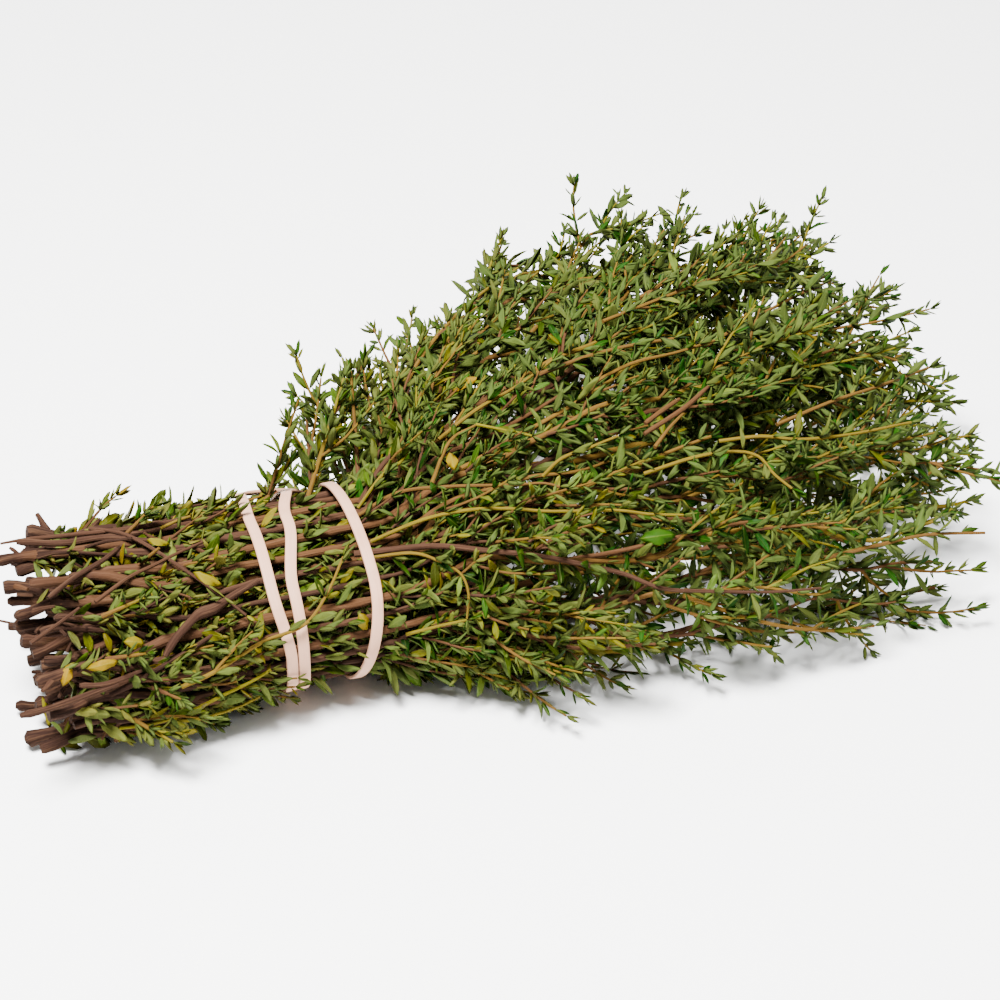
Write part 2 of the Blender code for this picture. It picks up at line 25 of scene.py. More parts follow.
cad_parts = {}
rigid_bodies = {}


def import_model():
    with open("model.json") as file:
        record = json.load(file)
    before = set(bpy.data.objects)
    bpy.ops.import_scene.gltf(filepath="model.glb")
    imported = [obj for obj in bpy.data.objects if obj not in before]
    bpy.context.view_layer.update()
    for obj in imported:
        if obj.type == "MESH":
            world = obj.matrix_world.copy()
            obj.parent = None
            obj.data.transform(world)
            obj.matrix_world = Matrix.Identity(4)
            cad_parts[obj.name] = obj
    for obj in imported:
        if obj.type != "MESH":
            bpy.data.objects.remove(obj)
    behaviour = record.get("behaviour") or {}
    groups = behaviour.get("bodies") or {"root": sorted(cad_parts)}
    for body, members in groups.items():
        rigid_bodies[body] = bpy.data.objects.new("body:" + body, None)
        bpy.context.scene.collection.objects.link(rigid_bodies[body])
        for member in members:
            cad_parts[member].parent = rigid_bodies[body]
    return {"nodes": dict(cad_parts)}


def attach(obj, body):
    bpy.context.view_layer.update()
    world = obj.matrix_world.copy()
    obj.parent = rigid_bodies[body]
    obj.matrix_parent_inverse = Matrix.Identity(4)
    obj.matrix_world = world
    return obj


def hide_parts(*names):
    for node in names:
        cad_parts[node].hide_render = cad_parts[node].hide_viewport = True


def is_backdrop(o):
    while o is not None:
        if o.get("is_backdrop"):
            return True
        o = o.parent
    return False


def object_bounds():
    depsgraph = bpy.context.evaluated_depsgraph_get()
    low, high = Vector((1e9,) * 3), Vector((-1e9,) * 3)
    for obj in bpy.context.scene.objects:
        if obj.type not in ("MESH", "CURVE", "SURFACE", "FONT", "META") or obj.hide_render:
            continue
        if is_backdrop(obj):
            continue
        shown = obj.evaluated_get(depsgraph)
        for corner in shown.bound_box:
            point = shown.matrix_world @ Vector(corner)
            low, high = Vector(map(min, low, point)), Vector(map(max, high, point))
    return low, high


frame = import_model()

logging.basicConfig(level=logging.INFO, format="%(message)s")
log = logging.getLogger("thyme")

MM = 0.001
SEED = 7
SEEN_ANGLE = 140.0
TWIG_SHIELD = 4 * MM
STEM_SHIELD = 0.9 * MM
SHOWN_GAP = 0.3 * MM
BOX_MARGIN = (0.001, 0.001, 0.004)
Pair = tuple[float, float]
Triple = tuple[float, float, float]
Marks = tuple[Pair, ...]
Ball = tuple[Vector, float]


def mm(*sizes: float) -> tuple[float, ...]:
    """Sizes in millimetres, turned into metres."""
    return tuple(size * MM for size in sizes)


def eased(share: float) -> float:
    """Share held to 0..1, with a soft start and end."""
    share = min(max(share, 0.0), 1.0)
    return share * share * (3 - 2 * share)


def straight(share: float) -> float:
    """No easing."""
    return share


def read_marks(marks: Marks, at: float, ease: Callable[[float], float] = eased) -> float:
    """Reads a value between marks.

    Args:
        marks: (place, value) pairs in order.
        at: The place to read.
        ease: How the value moves from one mark to the next.

    Returns:
        The value at that place.
    """
    if at <= marks[0][0]:
        return marks[0][1]
    for (start, low), (end, high) in zip(marks, marks[1:]):
        if at <= end:
            return low + (high - low) * ease((at - start) / (end - start))
    return marks[-1][1]


def slot_at(angle: float) -> Pair:
    """The outermost slot at this many degrees round the tied section."""
    turn = math.radians(angle)
    return math.cos(turn), math.sin(turn)


def evenly(start: float, end: float, steps: int) -> list[float]:
    """Evenly spaced values from start to end, both included."""
    return [start + (end - start) * i / steps for i in range(steps + 1)]


def tapered(start: float, loss: float, steps: int) -> list[float]:
    """Values that fall evenly until this share of the first is lost."""
    return [start * (1 - loss * i / steps) for i in range(steps + 1)]


def shake(rng: random.Random, reach: float) -> Vector:
    """A random vector, up to reach on each axis."""
    return Vector(rng.uniform(-reach, reach) for _ in range(3))


@dataclass
class Route:
    """Centre line of a stem: bends with their place along the stem, and a radius at each."""

    places: list[float]
    points: list[Vector]
    radii: list[float]

    @classmethod
    def through(cls, points: list[Vector]) -> "Route":
        """Makes a route whose places are distances, with no radii yet.

        Args:
            points: Its bends.

        Returns:
            The route.
        """
        places = [0.0]
        for before, after in zip(points, points[1:]):
            places.append(places[-1] + (after - before).length)
        return cls(places, points, [0.0] * len(points))

    def at(self, place: float) -> tuple[Vector, Vector, float]:
        """Reads the line at a place.

        Args:
            place: Distance along the stem, on the scale of the bends' places.

        Returns:
            Point, direction and radius there.
        """
        last = len(self.places) - 2
        index = next((i for i in range(last) if place <= self.places[i + 1]), last)
        start, end = self.places[index], self.places[index + 1]
        share = min(max((place - start) / (end - start), 0.0), 1.0)
        point = self.points[index].lerp(self.points[index + 1], share)
        direction = (self.points[index + 1] - self.points[index]).normalized()
        radius = self.radii[index] + (self.radii[index + 1] - self.radii[index]) * share
        return point, direction, radius

    def balls(self, step: float = 2.5 * MM) -> list[Ball]:
        """Fills the stem with balls.

        Args:
            step: About how far apart they are.

        Returns:
            The balls.
        """
        length = self.places[-1] - self.places[0]
        count = max(2, math.ceil(length / step))
        stations = (self.at(self.places[0] + length * i / count) for i in range(count + 1))
        return [(point, radius) for point, _, radius in stations]


def shield(route: Route, towards: Vector, reach: float) -> list[Ball]:
    """Balls over a stem and out to one side of it, for others' leaves to keep out of.

    Args:
        route: The stem.
        towards: The side to keep open.
        reach: How far out the last balls lie.

    Returns:
        The balls.
    """
    rows = (0.0, 0.5, 1.0)
    return [
        (centre + towards * reach * row, radius * 0.8)
        for centre, radius in route.balls(1.2 * MM)
        for row in rows
    ]


def smoothed(rough: Route, steps: int = 6) -> Route:
    """Rounds a route through its bends.

    Args:
        rough: The route to round.
        steps: Points for each stretch between bends.

    Returns:
        The same route with more points.
    """
    ends = [
        2 * rough.points[0] - rough.points[1], *rough.points,
        2 * rough.points[-1] - rough.points[-2]
    ]
    count = len(rough.points) - 1
    points, places, radii = [], [], []
    for i in range(count):
        a, b, c, d = ends[i : i + 4]
        for step in range(steps + (i == count - 1)):
            t = step / steps
            bend = (2 * a - 5 * b + 4 * c - d) * t**2 + (3 * b - a - 3 * c + d) * t**3
            points.append(0.5 * (2 * b + (c - a) * t + bend))
            places.append(rough.places[i] + (rough.places[i + 1] - rough.places[i]) * t)
            radii.append(rough.radii[i] + (rough.radii[i + 1] - rough.radii[i]) * t)
    return Route(places, points, radii)


@dataclass
class TakenSpace:
    """Room already taken, held as balls in a grid, so that each piece keeps clear of the others."""

    cell: float = 6 * MM
    cells: dict[tuple[int, ...], list[tuple[str, Vector, float]]] = field(default_factory=dict)

    def key(self, point: Vector) -> tuple[int, ...]:
        """Grid cell of a point."""
        return tuple(math.floor(c / self.cell) for c in point)

    def add(self, owner: str, balls: Iterable[Ball]) -> None:
        """Takes the room of these balls for a named owner."""
        for centre, radius in balls:
            self.cells.setdefault(self.key(centre), []).append((owner, centre, radius))

    def is_clear(self, owner: str, balls: Iterable[Ball], gap: float) -> bool:
        """Tests some balls against the room that others hold.

        Args:
            owner: Whose balls these are. Its own room doesn't count.
            balls: The balls to test.
            gap: The least distance between surfaces.

        Returns:
            True if no ball comes nearer than gap to a ball of another owner.
        """
        for centre, radius in balls:
            x, y, z = self.key(centre)
            near = (
                taken
                for i in (x - 1, x, x + 1)
                for j in (y - 1, y, y + 1)
                for k in (z - 1, z, z + 1)
                for taken in self.cells.get((i, j, k), ())
            )
            for other, where, other_radius in near:
                if other != owner and (where - centre).length < radius + other_radius + gap:
                    return False
        return True


@dataclass(frozen=True)
class TiedSection:
    """The section inside the band: an ellipse through the centres of the outermost stems."""

    half_width: float = 27.0 * MM
    half_height: float = 18.5 * MM
    height: float = 21.1 * MM
    heading: float = -8.0
    half_length: float = 16 * MM
    on_rings: tuple[int, ...] = (1, 3, 6, 9, 12, 15)
    first_ring_with_shoots: int = 4

    @property
    def outermost(self) -> int:
        """Number of the outermost ring."""
        return len(self.on_rings) - 1

    def axes(self) -> tuple[Vector, Vector, Vector]:
        """Finds the directions of the tied section.

        Returns:
            Along it, across it and up.
        """
        tie = math.radians(self.heading)
        along = Vector((math.cos(tie), math.sin(tie), 0))
        across = Vector((-math.sin(tie), math.cos(tie), 0))
        return along, across, Vector((0, 0, 1))

    def outward(self, slot: Pair) -> Vector:
        """Direction out of the bunch at a slot."""
        _, sideways, upwards = self.axes()
        return (sideways * slot[0] + upwards * slot[1]).normalized()

    def point(self, angle: float, place: float, off: float) -> tuple[Vector, Vector]:
        """Finds a point on the outside of the tied section.

        Args:
            angle: Degrees round the section, from the far side over the top.
            place: Distance along the bunch from the band.
            off: Distance out from the outermost stems' centres.

        Returns:
            The point and the outward direction there.
        """
        along, across, up = self.axes()
        turn = math.radians(angle)
        cos, sin = math.cos(turn), math.sin(turn)
        centre = across * (self.half_width * cos) + up * (self.half_height * sin)
        outward = across * (cos / self.half_width) + up * (sin / self.half_height)
        outward.normalize()
        return along * place + centre + up * self.height + outward * off, outward

    def slots(self) -> Iterator[tuple[int, Pair, Pair | None]]:
        """Goes through the stems' slots from the middle out.

        Yields:
            Ring, (across, up) of the stem, and the same of its side shoot, if any.
        """
        for ring, count in enumerate(self.on_rings):
            for i in range(count):
                half_step = 0.5 if ring % 2 == 0 else 0.0
                angle = -math.pi / 2 + 2 * math.pi * (i + half_step) / count
                beside = angle + math.pi / count
                share = ring / self.outermost
                stem = (share * math.cos(angle), share * math.sin(angle))
                shoot = (share * math.cos(beside), share * math.sin(beside))
                yield ring, stem, shoot if ring >= self.first_ring_with_shoots else None


@dataclass(frozen=True)
class FanShape:
    """How the stems run from the cut ends through the band and out into the fan."""

    tie: TiedSection = TiedSection()
    butt_flare: float = -12.0
    heading: float = 17.0
    spread: float = 30.0
    flare_full: float = 56 * MM
    turn_starts: float = 15 * MM
    bulge_full: float = 40 * MM
    straight_from: float = 100 * MM
    reach: float = 219 * MM
    last_bend_to_tip: float = 14 * MM
    route_step: float = 2 * MM
    low: Marks = (
        (-76, 1.5), (-50, 1.9), (-16, 2.6), (16, 2.6), (42, 3.4), (76, 2.2), (122, 0.72),
        (206, 4.6),
    )
    high: Marks = (
        (-76, 40.5), (-16, 39.6), (16, 39.6), (42, 48.0), (90, 50.0), (150, 43.0), (206, 33.0)
    )
    resting_share: float = 0.06
    resting_full: float = 46 * MM
    lowest_centre: float = 0.6 * MM
    wave: float = 1.6 * MM
    wave_full: float = 36 * MM
    wave_lengths: Pair = mm(21, 34)
    curl_side: float = 12 * MM
    curl_up: float = 6 * MM
    curl_starts: float = 38 * MM
    curl_power: float = 1.5

    def heading_at(self, place: float, across: float, bulge: float) -> float:
        """Direction of a stem in plan.

        Args:
            place: Distance along the stem from the band.
            across: The stem's place across the bunch, -1 to 1.
            bulge: Spread of the bulge just past the band, in degrees.

        Returns:
            The direction in radians from +X.
        """
        flare = eased((-place - self.tie.half_length) / (self.flare_full - self.tie.half_length))
        butt = self.tie.heading + self.butt_flare * across * flare
        settled = eased((place - self.bulge_full) / (self.straight_from - self.bulge_full))
        fan = self.heading + (bulge + (self.spread - bulge) * settled) * across
        turn = eased((place - self.turn_starts) / (self.bulge_full - self.turn_starts))
        return math.radians(butt + (fan - butt) * turn)

    def height_at(self, place: float, up: float) -> float:
        """Finds the height of a stem's centre.

        Args:
            place: Distance along the stem from the band.
            up: -1 for the lowest stems, 1 for the highest.

        Returns:
            The height.
        """
        half = self.tie.half_length
        resting = self.resting_share * eased((place - half) / (self.resting_full - half))
        share = max(0.0, ((up + 1) / 2 - resting) / (1 - resting))
        low = read_marks(self.low, place / MM) * MM
        high = read_marks(self.high, place / MM) * MM
        return low + (high - low) * share

    def plan_point(self, across: float, place: float, bulge: float) -> Pair:
        """Finds where a stem is in plan.

        Args:
            across: The stem's place across the bunch, -1 to 1.
            place: Distance along the stem from the band.
            bulge: Spread of the bulge, in degrees.

        Returns:
            X and Y.
        """
        x, y, _ = self.tie.axes()[1] * across * self.tie.half_width
        steps = max(1, round(abs(place) / self.route_step))
        step = place / steps
        for i in range(steps):
            heading = self.heading_at((i + 0.5) * step, across, bulge)
            x += step * math.cos(heading)
            y += step * math.sin(heading)
        return x, y

    def point(
        self, slot: Pair, place: float, bulge: float, curl: Pair = (0.0, 0.0)
    ) -> Vector:
        """One point of a stem.

        Args:
            slot: Place across and up the tied section, -1 to 1.
            place: Distance along the stem from the band.
            bulge: Spread of the bulge, in degrees.
            curl: Share of the full curl, sideways and up.

        Returns:
            The point, measured from the middle of the tied section.
        """
        across, up = slot
        x, y = self.plan_point(across, place, bulge)
        wave = math.sin(x / self.wave_lengths[0] + y / self.wave_lengths[1])
        half = self.tie.half_length
        wave *= self.wave * eased((abs(place) - half) / (self.wave_full - half))
        bend = max(
            0.0, (place - self.curl_starts) / (self.reach - self.curl_starts)
        ) ** self.curl_power
        z = self.height_at(place, up) + curl[1] * bend * self.curl_up
        return Vector((x, y + wave + curl[0] * bend * self.curl_side, max(z, self.lowest_centre)))

    def route(
        self,
        slot: Pair,
        ends: Pair,
        bends: Iterable[float],
        bulge: float,
        radii: Marks,
        curl: Pair = (0.0, 0.0),
    ) -> Route:
        """Lays one stem.

        Args:
            slot: Place across and up the tied section, -1 to 1.
            ends: First and last place along the stem.
            bends: Places of the bends between them.
            bulge: Spread of the bulge, in degrees.
            radii: (share of the way to the tip, radius in mm) marks.
            curl: Share of the full curl, sideways and up.

        Returns:
            The stem's route.
        """
        start, end = ends
        places = [start, *(bend for bend in bends if bend < end - self.last_bend_to_tip), end]
        points = [self.point(slot, place, bulge, curl) for place in places]
        shares = ((place - start) / (end - start) for place in places)
        return Route(places, points, [read_marks(radii, share, straight) * MM for share in shares])


@dataclass(frozen=True)
class BandWinding:
    """The rubber band's path: one strip wound three times round the tied section."""

    tie: TiedSection = TiedSection()
    width: float = 2.8 * MM
    thickness: float = 0.9 * MM
    off_stems: float = 0.45 * MM
    outer_stem: float = 1.42 * MM
    lift: float = 1.5 * MM
    marks: Marks = (
        (46, -10.8), (91, -12.8), (136, -13.4), (181, -11.5), (226, -10.6), (316, -5),
        (406, 0.8), (451, -4), (496, -8.3), (541, -8.5), (586, -7.6), (660, 0), (720, 14),
        (766, 11.4), (856, 11.4), (946, 6.2), (1020, 8), (1060, 10.5), (1096, 7), (1126, -10.8),
    )
    lift_marks: Marks = ((1026, 0), (1042, 1), (1118, 1), (1140, 0))
    steps_a_turn: int = 26

    def stations(self, count: int) -> list[tuple[Vector, Vector, Vector]]:
        """Steps round the three turns.

        Args:
            count: How many steps.

        Returns:
            Middle of the strip, the direction across it and the outward one, at each step.
        """
        start = self.marks[0][0]
        off = self.outer_stem + self.off_stems + self.thickness / 2
        middles = []
        for i in range(count):
            angle = start + 1080 * i / count
            lift_angle = angle + 1080 if angle < start + 90 else angle
            lift = read_marks(self.lift_marks, lift_angle) * self.lift
            middles.append(self.tie.point(angle, read_marks(self.marks, angle) * MM, off + lift))
        stations = []
        for i, (point, outward) in enumerate(middles):
            path = middles[(i + 1) % count][0] - middles[i - 1][0]
            across = path.cross(outward).normalized()
            stations.append((point, across, across.cross(path).normalized()))
        return stations

    def balls(self) -> list[Ball]:
        """Fills the band with balls.

        Returns:
            The balls.
        """
        radius = self.thickness / 2
        reach = self.width / 2 - radius
        stations = self.stations(4 * 3 * self.steps_a_turn)
        return [
            (point + across * reach * side, radius) for point, across, _ in stations
            for side in (-1, 0, 1)
        ]


@dataclass
class SprigLines:
    """The centre lines of one sprig, as smooth routes, its slot, and its solid's cut end."""

    name: str
    ring: int
    slot: Pair
    stem: Route
    cut: Vector
    shoot: Route | None = None
    spurs: list[Route] = field(default_factory=list)


@dataclass
class SprigPlanner:
    """Lays the sprigs one after another, with the draws and the order that the solids had."""

    fan: FanShape
    rng: random.Random
    taken: TakenSpace
    cut_end: float = -69 * MM
    cut_ragged: float = 6 * MM
    cut_shorter_far_side: float = 7 * MM
    fork_ahead: float = 9 * MM
    shortest_share: float = 0.84
    shorter_at_sides: float = 0.12
    shorter_in_front: float = 0.24
    shorter_far_side: float = 0.36
    shoot_reach: Pair = mm(44, 88)
    shorter_shoots_far_side: float = 0.35
    bulge: float = 50.0
    shoot_spread: float = 62.0
    stem_bends: tuple[float, ...] = mm(-16, 16, 42, 76, 122)
    shoot_bends: tuple[float, ...] = mm(-37, -16, 16, 42)
    stem_radii: Marks = ((0.0, 1.6), (0.3, 1.42), (0.6, 1.0), (1.0, 0.45))
    shoot_radii: Marks = ((0.0, 1.35), (0.5, 1.1), (1.0, 0.45))
    spur_radii: Pair = mm(0.9, 0.45)
    stem_gap: float = 0.5 * MM
    spur_gap: float = 0.3 * MM
    spur_ball_step: float = 0.8 * MM
    lowest_spur_tip: float = 0.36 * 8.6 * MM
    curl_tries: int = 9
    curl_left: float = 0.7
    shoot_tries: int = 7
    shoot_held_back: float = 0.48
    spur_tries: int = 6
    far_side: float = 0.3
    spurs_far: tuple = (
        (mm(19, 26), mm(20, 32), (70, 108)),
        (mm(4.5, 8.5), mm(20, 32), (52, 84)),
        (mm(-7.5, -4), mm(14, 22), (40, 62)),
    )
    spurs_near: tuple = ((mm(-56, -32), mm(9, 16), (34, 60)),)
    fine_step: float = 3.2 * MM
    wobble: Marks = ((-70, 2.2), (-16, 0.4), (14, 0.35), (50, 1.8), (140, 3.2))
    wobble_waves: Pair = mm(26, 67)
    quick_bends: Marks = ((-60, 0.42), (-20, 0.22), (200, 0.2))
    end_ring: float = 1 * MM
    slimness: Marks = ((-70, 0.84), (-20, 0.8), (30, 0.74), (120, 0.72), (200, 0.8))
    bends_rng: random.Random = field(default_factory=lambda: random.Random(23))

    def fine(
        self,
        slot: Pair,
        ends: Pair,
        bulge: float,
        radii: Marks,
        curl: Pair = (0.0, 0.0),
    ) -> Route:
        """Lays the same stem as a smooth line with bends of its own.

        Args:
            slot: Place across and up the tied section, -1 to 1.
            ends: First and last place along the stem.
            bulge: Spread of the bulge, in degrees.
            radii: (share of the way to the tip, radius in mm) marks.
            curl: Share of the full curl, sideways and up.

        Returns:
            The smooth route.
        """
        count = max(4, round((ends[1] - ends[0]) / self.fine_step))
        shares = [
            0.0, self.end_ring / (ends[1] - ends[0]), *(i / count for i in range(1, count + 1))
        ]
        places = [ends[0] + (ends[1] - ends[0]) * share for share in shares]
        stout = self.bends_rng.uniform(0.62, 1.24)
        turns = [self.bends_rng.uniform(0, 2 * math.pi) for _ in range(4)]
        points, widths = [], []
        for share, place in zip(shares, places):
            point = self.fan.point(slot, place, bulge, curl)
            radius = read_marks(radii, share, straight) * MM
            radius *= read_marks(self.slimness, place / MM)
            radius *= stout
            sway = read_marks(self.wobble, place / MM) * MM
            short, long = (place / wave * 2 * math.pi for wave in self.wobble_waves)
            quick = read_marks(self.quick_bends, place / MM)
            point.y += sway * (quick * math.sin(short + turns[0]) + 0.8 * math.sin(long + turns[1]))
            point.z += sway * (quick * math.sin(short + turns[2]) + 0.7 * math.sin(long + turns[3]))
            point.z = max(point.z, radius + 0.1 * MM)
            points.append(point)
            widths.append(radius)
        return Route(places, points, widths)

    def main_stem(self, name: str, slot: Pair) -> tuple[Route, Route]:
        """Lays a main stem, curled as far as its neighbours leave it clear.

        Args:
            name: The sprig's name.
            slot: Its place across and up the tied section.

        Returns:
            The solid's route and the smooth one.
        """
        start = self.cut_end + self.rng.uniform(-self.cut_ragged, self.cut_ragged)
        start += self.cut_shorter_far_side * max(0.0, slot[0])
        shorter = self.shorter_at_sides * slot[0] ** 4 + self.shorter_in_front * max(0.0, -slot[0])
        shorter += self.shorter_far_side * max(0.0, slot[0]) ** 8
        reach = self.fan.reach * (1 - shorter) * self.rng.uniform(self.shortest_share, 1.0)
        curl = (self.rng.uniform(-1, 1), self.rng.uniform(-1, 1))
        for _ in range(self.curl_tries):
            laid = curl
            stem = self.fan.route(
                slot, (start, reach), self.stem_bends, self.bulge, self.stem_radii, curl
            )
            if self.taken.is_clear(name, stem.balls(), self.stem_gap):
                break
            curl = (curl[0] * self.curl_left, curl[1] * self.curl_left)
        self.taken.add(name, stem.balls())
        return stem, self.fine(slot, (start, reach), self.bulge, self.stem_radii, laid)

    def side_shoot(self, name: str, slot: Pair, stem: Route, smooth: Route) -> Route | None:
        """Lays a side shoot that forks from its stem near the cut end.

        Args:
            name: The sprig's name.
            slot: The shoot's place across and up the tied section.
            stem: The solid stem's route.
            smooth: The smooth stem.

        Returns:
            The smooth shoot, or None where there is no room.
        """
        start = stem.places[0] + self.fork_ahead
        reach = self.rng.uniform(*self.shoot_reach)
        reach *= 1 - self.shorter_shoots_far_side * max(0.0, slot[0])
        for attempt in range(self.shoot_tries):
            tried = attempt / (self.shoot_tries - 1)
            bulge = self.shoot_spread + (self.bulge - self.shoot_spread) * tried
            end = reach * (1 - self.shoot_held_back * tried)
            shoot = self.fan.route(slot, (start, end), self.shoot_bends, bulge, self.shoot_radii)
            shoot.points[0] = stem.at(start)[0]
            if self.taken.is_clear(name, shoot.balls(), self.stem_gap):
                self.taken.add(name, shoot.balls())
                return self.forked(self.fine(slot, (start, end), bulge, self.shoot_radii), smooth)
        return None

    def forked(self, shoot: Route, stem: Route) -> Route:
        """Bends the first part of a smooth shoot so that it grows out of its stem.

        Args:
            shoot: The smooth shoot.
            stem: Its smooth stem.

        Returns:
            The same shoot, bent.
        """
        start = shoot.places[0]
        away = stem.at(start)[0] - shoot.points[0]
        for i, place in enumerate(shoot.places):
            left = 1 - eased((place - start) / (self.shoot_bends[0] - start))
            shoot.points[i] = shoot.points[i] + away * left
        return shoot

    def spur(self, name: str, slot: Pair, ranges: tuple, stem: Route) -> Route | None:
        """Lays a short straight spur that leans out of the bunch.

        Args:
            name: The sprig's name.
            slot: Place across and up the tied section, -1 to 1.
            ranges: Limits of its place, its length and its opening in degrees.
            stem: The solid stem's route.

        Returns:
            The spur, or None where there is no room.
        """
        outward = self.fan.tie.outward(slot)
        for _ in range(self.spur_tries):
            place, length, opening = (self.rng.uniform(*limits) for limits in ranges)
            opening = math.radians(opening)
            root, direction, _ = stem.at(place)
            tip = root + (direction * math.cos(opening) + outward * math.sin(opening)) * length
            spur = Route([0.0, length], [root, tip], list(self.spur_radii))
            balls = spur.balls(self.spur_ball_step)
            if tip.z > self.lowest_spur_tip and self.taken.is_clear(name, balls, self.spur_gap):
                self.taken.add(name, balls)
                return spur
        return None

    def lay(self, band: BandWinding, loose: dict[str, Route]) -> list[SprigLines]:
        """Lays every sprig, each clear of all the others, of the band and of the loose pieces.

        Args:
            band: The rubber band's path.
            loose: Routes of the loose pieces, by name.

        Returns:
            The sprigs' lines, from the middle of the bunch outwards.
        """
        slots = list(self.fan.tie.slots())
        sprigs, solid = [], {}
        for number, (ring, slot, _) in enumerate(slots, 1):
            name = f"sprig_{number:02d}"
            solid[name], smooth = self.main_stem(name, slot)
            sprigs.append(SprigLines(name, ring, slot, smooth, solid[name].points[0]))
        for sprig, (_, _, shoot_slot) in zip(sprigs, slots):
            if shoot_slot:
                sprig.shoot = self.side_shoot(sprig.name, shoot_slot, solid[sprig.name], sprig.stem)
        self.taken.add("rubber_band", band.balls())
        for name, route in loose.items():
            self.taken.add(name, route.balls())
        for sprig in sprigs:
            if sprig.ring == self.fan.tie.outermost:
                kinds = self.spurs_far if sprig.slot[0] > self.far_side else self.spurs_near
                laid = [
                    self.spur(sprig.name, sprig.slot, kind, solid[sprig.name]) for kind in kinds
                ]
                sprig.spurs = [spur for spur in laid if spur]
        return sprigs


class LeafKind(Enum):
    """The shapes that a leaf may have."""

    BLADE = 0
    CUPPED = 1
    YOUNG = 2
    ROUND = 3


@dataclass(frozen=True)
class LeafShape:
    """One leaf, a unit long, wide and high: a closed blade with a midrib, arched and folded."""

    kind: LeafKind
    halves: Marks = ((0.2, 0.33), (0.52, 0.5), (0.86, 0.3))
    fold: float = 0.2
    arch: float = 0.5
    twist: float = 0.0
    thickness: float = 0.22

    def section(self, along: float, half: float) -> list[Vector]:
        """Cuts the blade across.

        Args:
            along: Share of the leaf's length.
            half: Half the blade's width there.

        Returns:
            Left edge, top of the midrib, right edge and underside of the midrib.
        """
        turn = Matrix.Rotation(self.twist * along, 3, "X")
        corners = (
            Vector((0, -half, self.fold * half)),
            Vector((0, 0, self.thickness * 0.4)),
            Vector((0, half, self.fold * half)),
            Vector((0, 0, -self.thickness * 0.6)),
        )
        return [
            turn @ corner + Vector((along, 0, -self.arch * along * along)) for corner in corners
        ]

    def build(self, home: Collection) -> Object:
        """Makes the leaf's mesh, with its own coordinates for the finish and its map.

        Args:
            home: Collection that holds the leaf shapes.

        Returns:
            The leaf's object.
        """
        shell = bmesh.new()
        local = shell.verts.layers.float_vector.new("leaf_local")

        def corner(place: Vector, *own: float) -> bmesh.types.BMVert:
            """Adds a corner with its own coordinates.

            Args:
                place: Where it is.
                own: Along, across and side.

            Returns:
                The corner.
            """
            vert = shell.verts.new(place)
            vert[local] = Vector(own)
            return vert

        sides = ((-1, 0), (0, 1), (1, 0), (0, -1))
        rings = [
            [corner(place, along, *side) for place, side in zip(self.section(along, half), sides)]
            for along, half in self.halves
        ]
        root = corner(Vector((0.0, 0.0, 0.0)), 0.0, 0.0, 0.0)
        tip = corner(Vector((1.0, 0.0, -self.arch)), 1.0, 0.0, 0.0)
        for i in range(4):
            shell.faces.new((rings[0][i - 1], rings[0][i], root))
            shell.faces.new((rings[-1][i], rings[-1][i - 1], tip))
            for before, after in zip(rings, rings[1:]):
                shell.faces.new((before[i], before[i - 1], after[i - 1], after[i]))
        bmesh.ops.recalc_face_normals(shell, faces=shell.faces)
        for edge in shell.edges:
            edge.smooth = not all(abs(vert[local].y) > 0.5 for vert in edge.verts)
        self.lay_map(shell, local)
        mesh = bpy.data.meshes.new(f"leaf_{self.kind.value}_{self.kind.name.lower()}")
        shell.to_mesh(mesh)
        shell.free()
        mesh.polygons.foreach_set("use_smooth", [True] * len(mesh.polygons))
        leaf = bpy.data.objects.new(mesh.name, mesh)
        home.objects.link(leaf)
        return leaf

    def lay_map(self, shell: bmesh.types.BMesh, local: object) -> None:
        """Maps the upper side to the lower half of the unit square, the underside to the rest.

        Args:
            shell: The leaf's mesh.
            local: Layer of its own coordinates.
        """
        layer = shell.loops.layers.uv.new("OFBake")
        for face in shell.faces:
            below = sum(loop.vert[local].z for loop in face.loops) < 0
            for loop in face.loops:
                along, across, _ = loop.vert[local]
                loop[layer].uv = (0.03 + 0.94 * along, (0.75 if below else 0.25) + 0.22 * across)


@dataclass
class Stalk:
    """A stem as rings from root to tip. Wood is 0 where young, 1 where old, more at a knob."""

    points: list[Vector]
    radii: list[float]
    wood: list[float]
    tone: float


@dataclass
class Leaf:
    """One leaf's place, size and colour. Age runs from 0, fresh green, to 1, yellow."""

    root: Vector
    pointing: Vector
    facing: Vector
    length: float
    width: float
    kind: LeafKind
    tone: float
    age: float


@dataclass
class Foliage:
    """Everything that grows on one piece, before its mesh is made."""

    stalks: list[Stalk] = field(default_factory=list)
    leaves: list[Leaf] = field(default_factory=list)


@dataclass(frozen=True)
class LeafHabit:
    """How leaves grow along one stretch of stem."""

    spacing: Pair
    opening: Pair
    length: Pair
    width: Pair = (0.22, 0.32)
    share: float = 1.0
    tuft_share: float = 0.5
    branch_share: float = 0.0
    age: Pair = (0.0, 0.35)
    round_share: float = 0.05
    branch_length: Pair = mm(10, 28)
    branch_opening: Pair = (22, 52)
    outward_share: float = 0.5


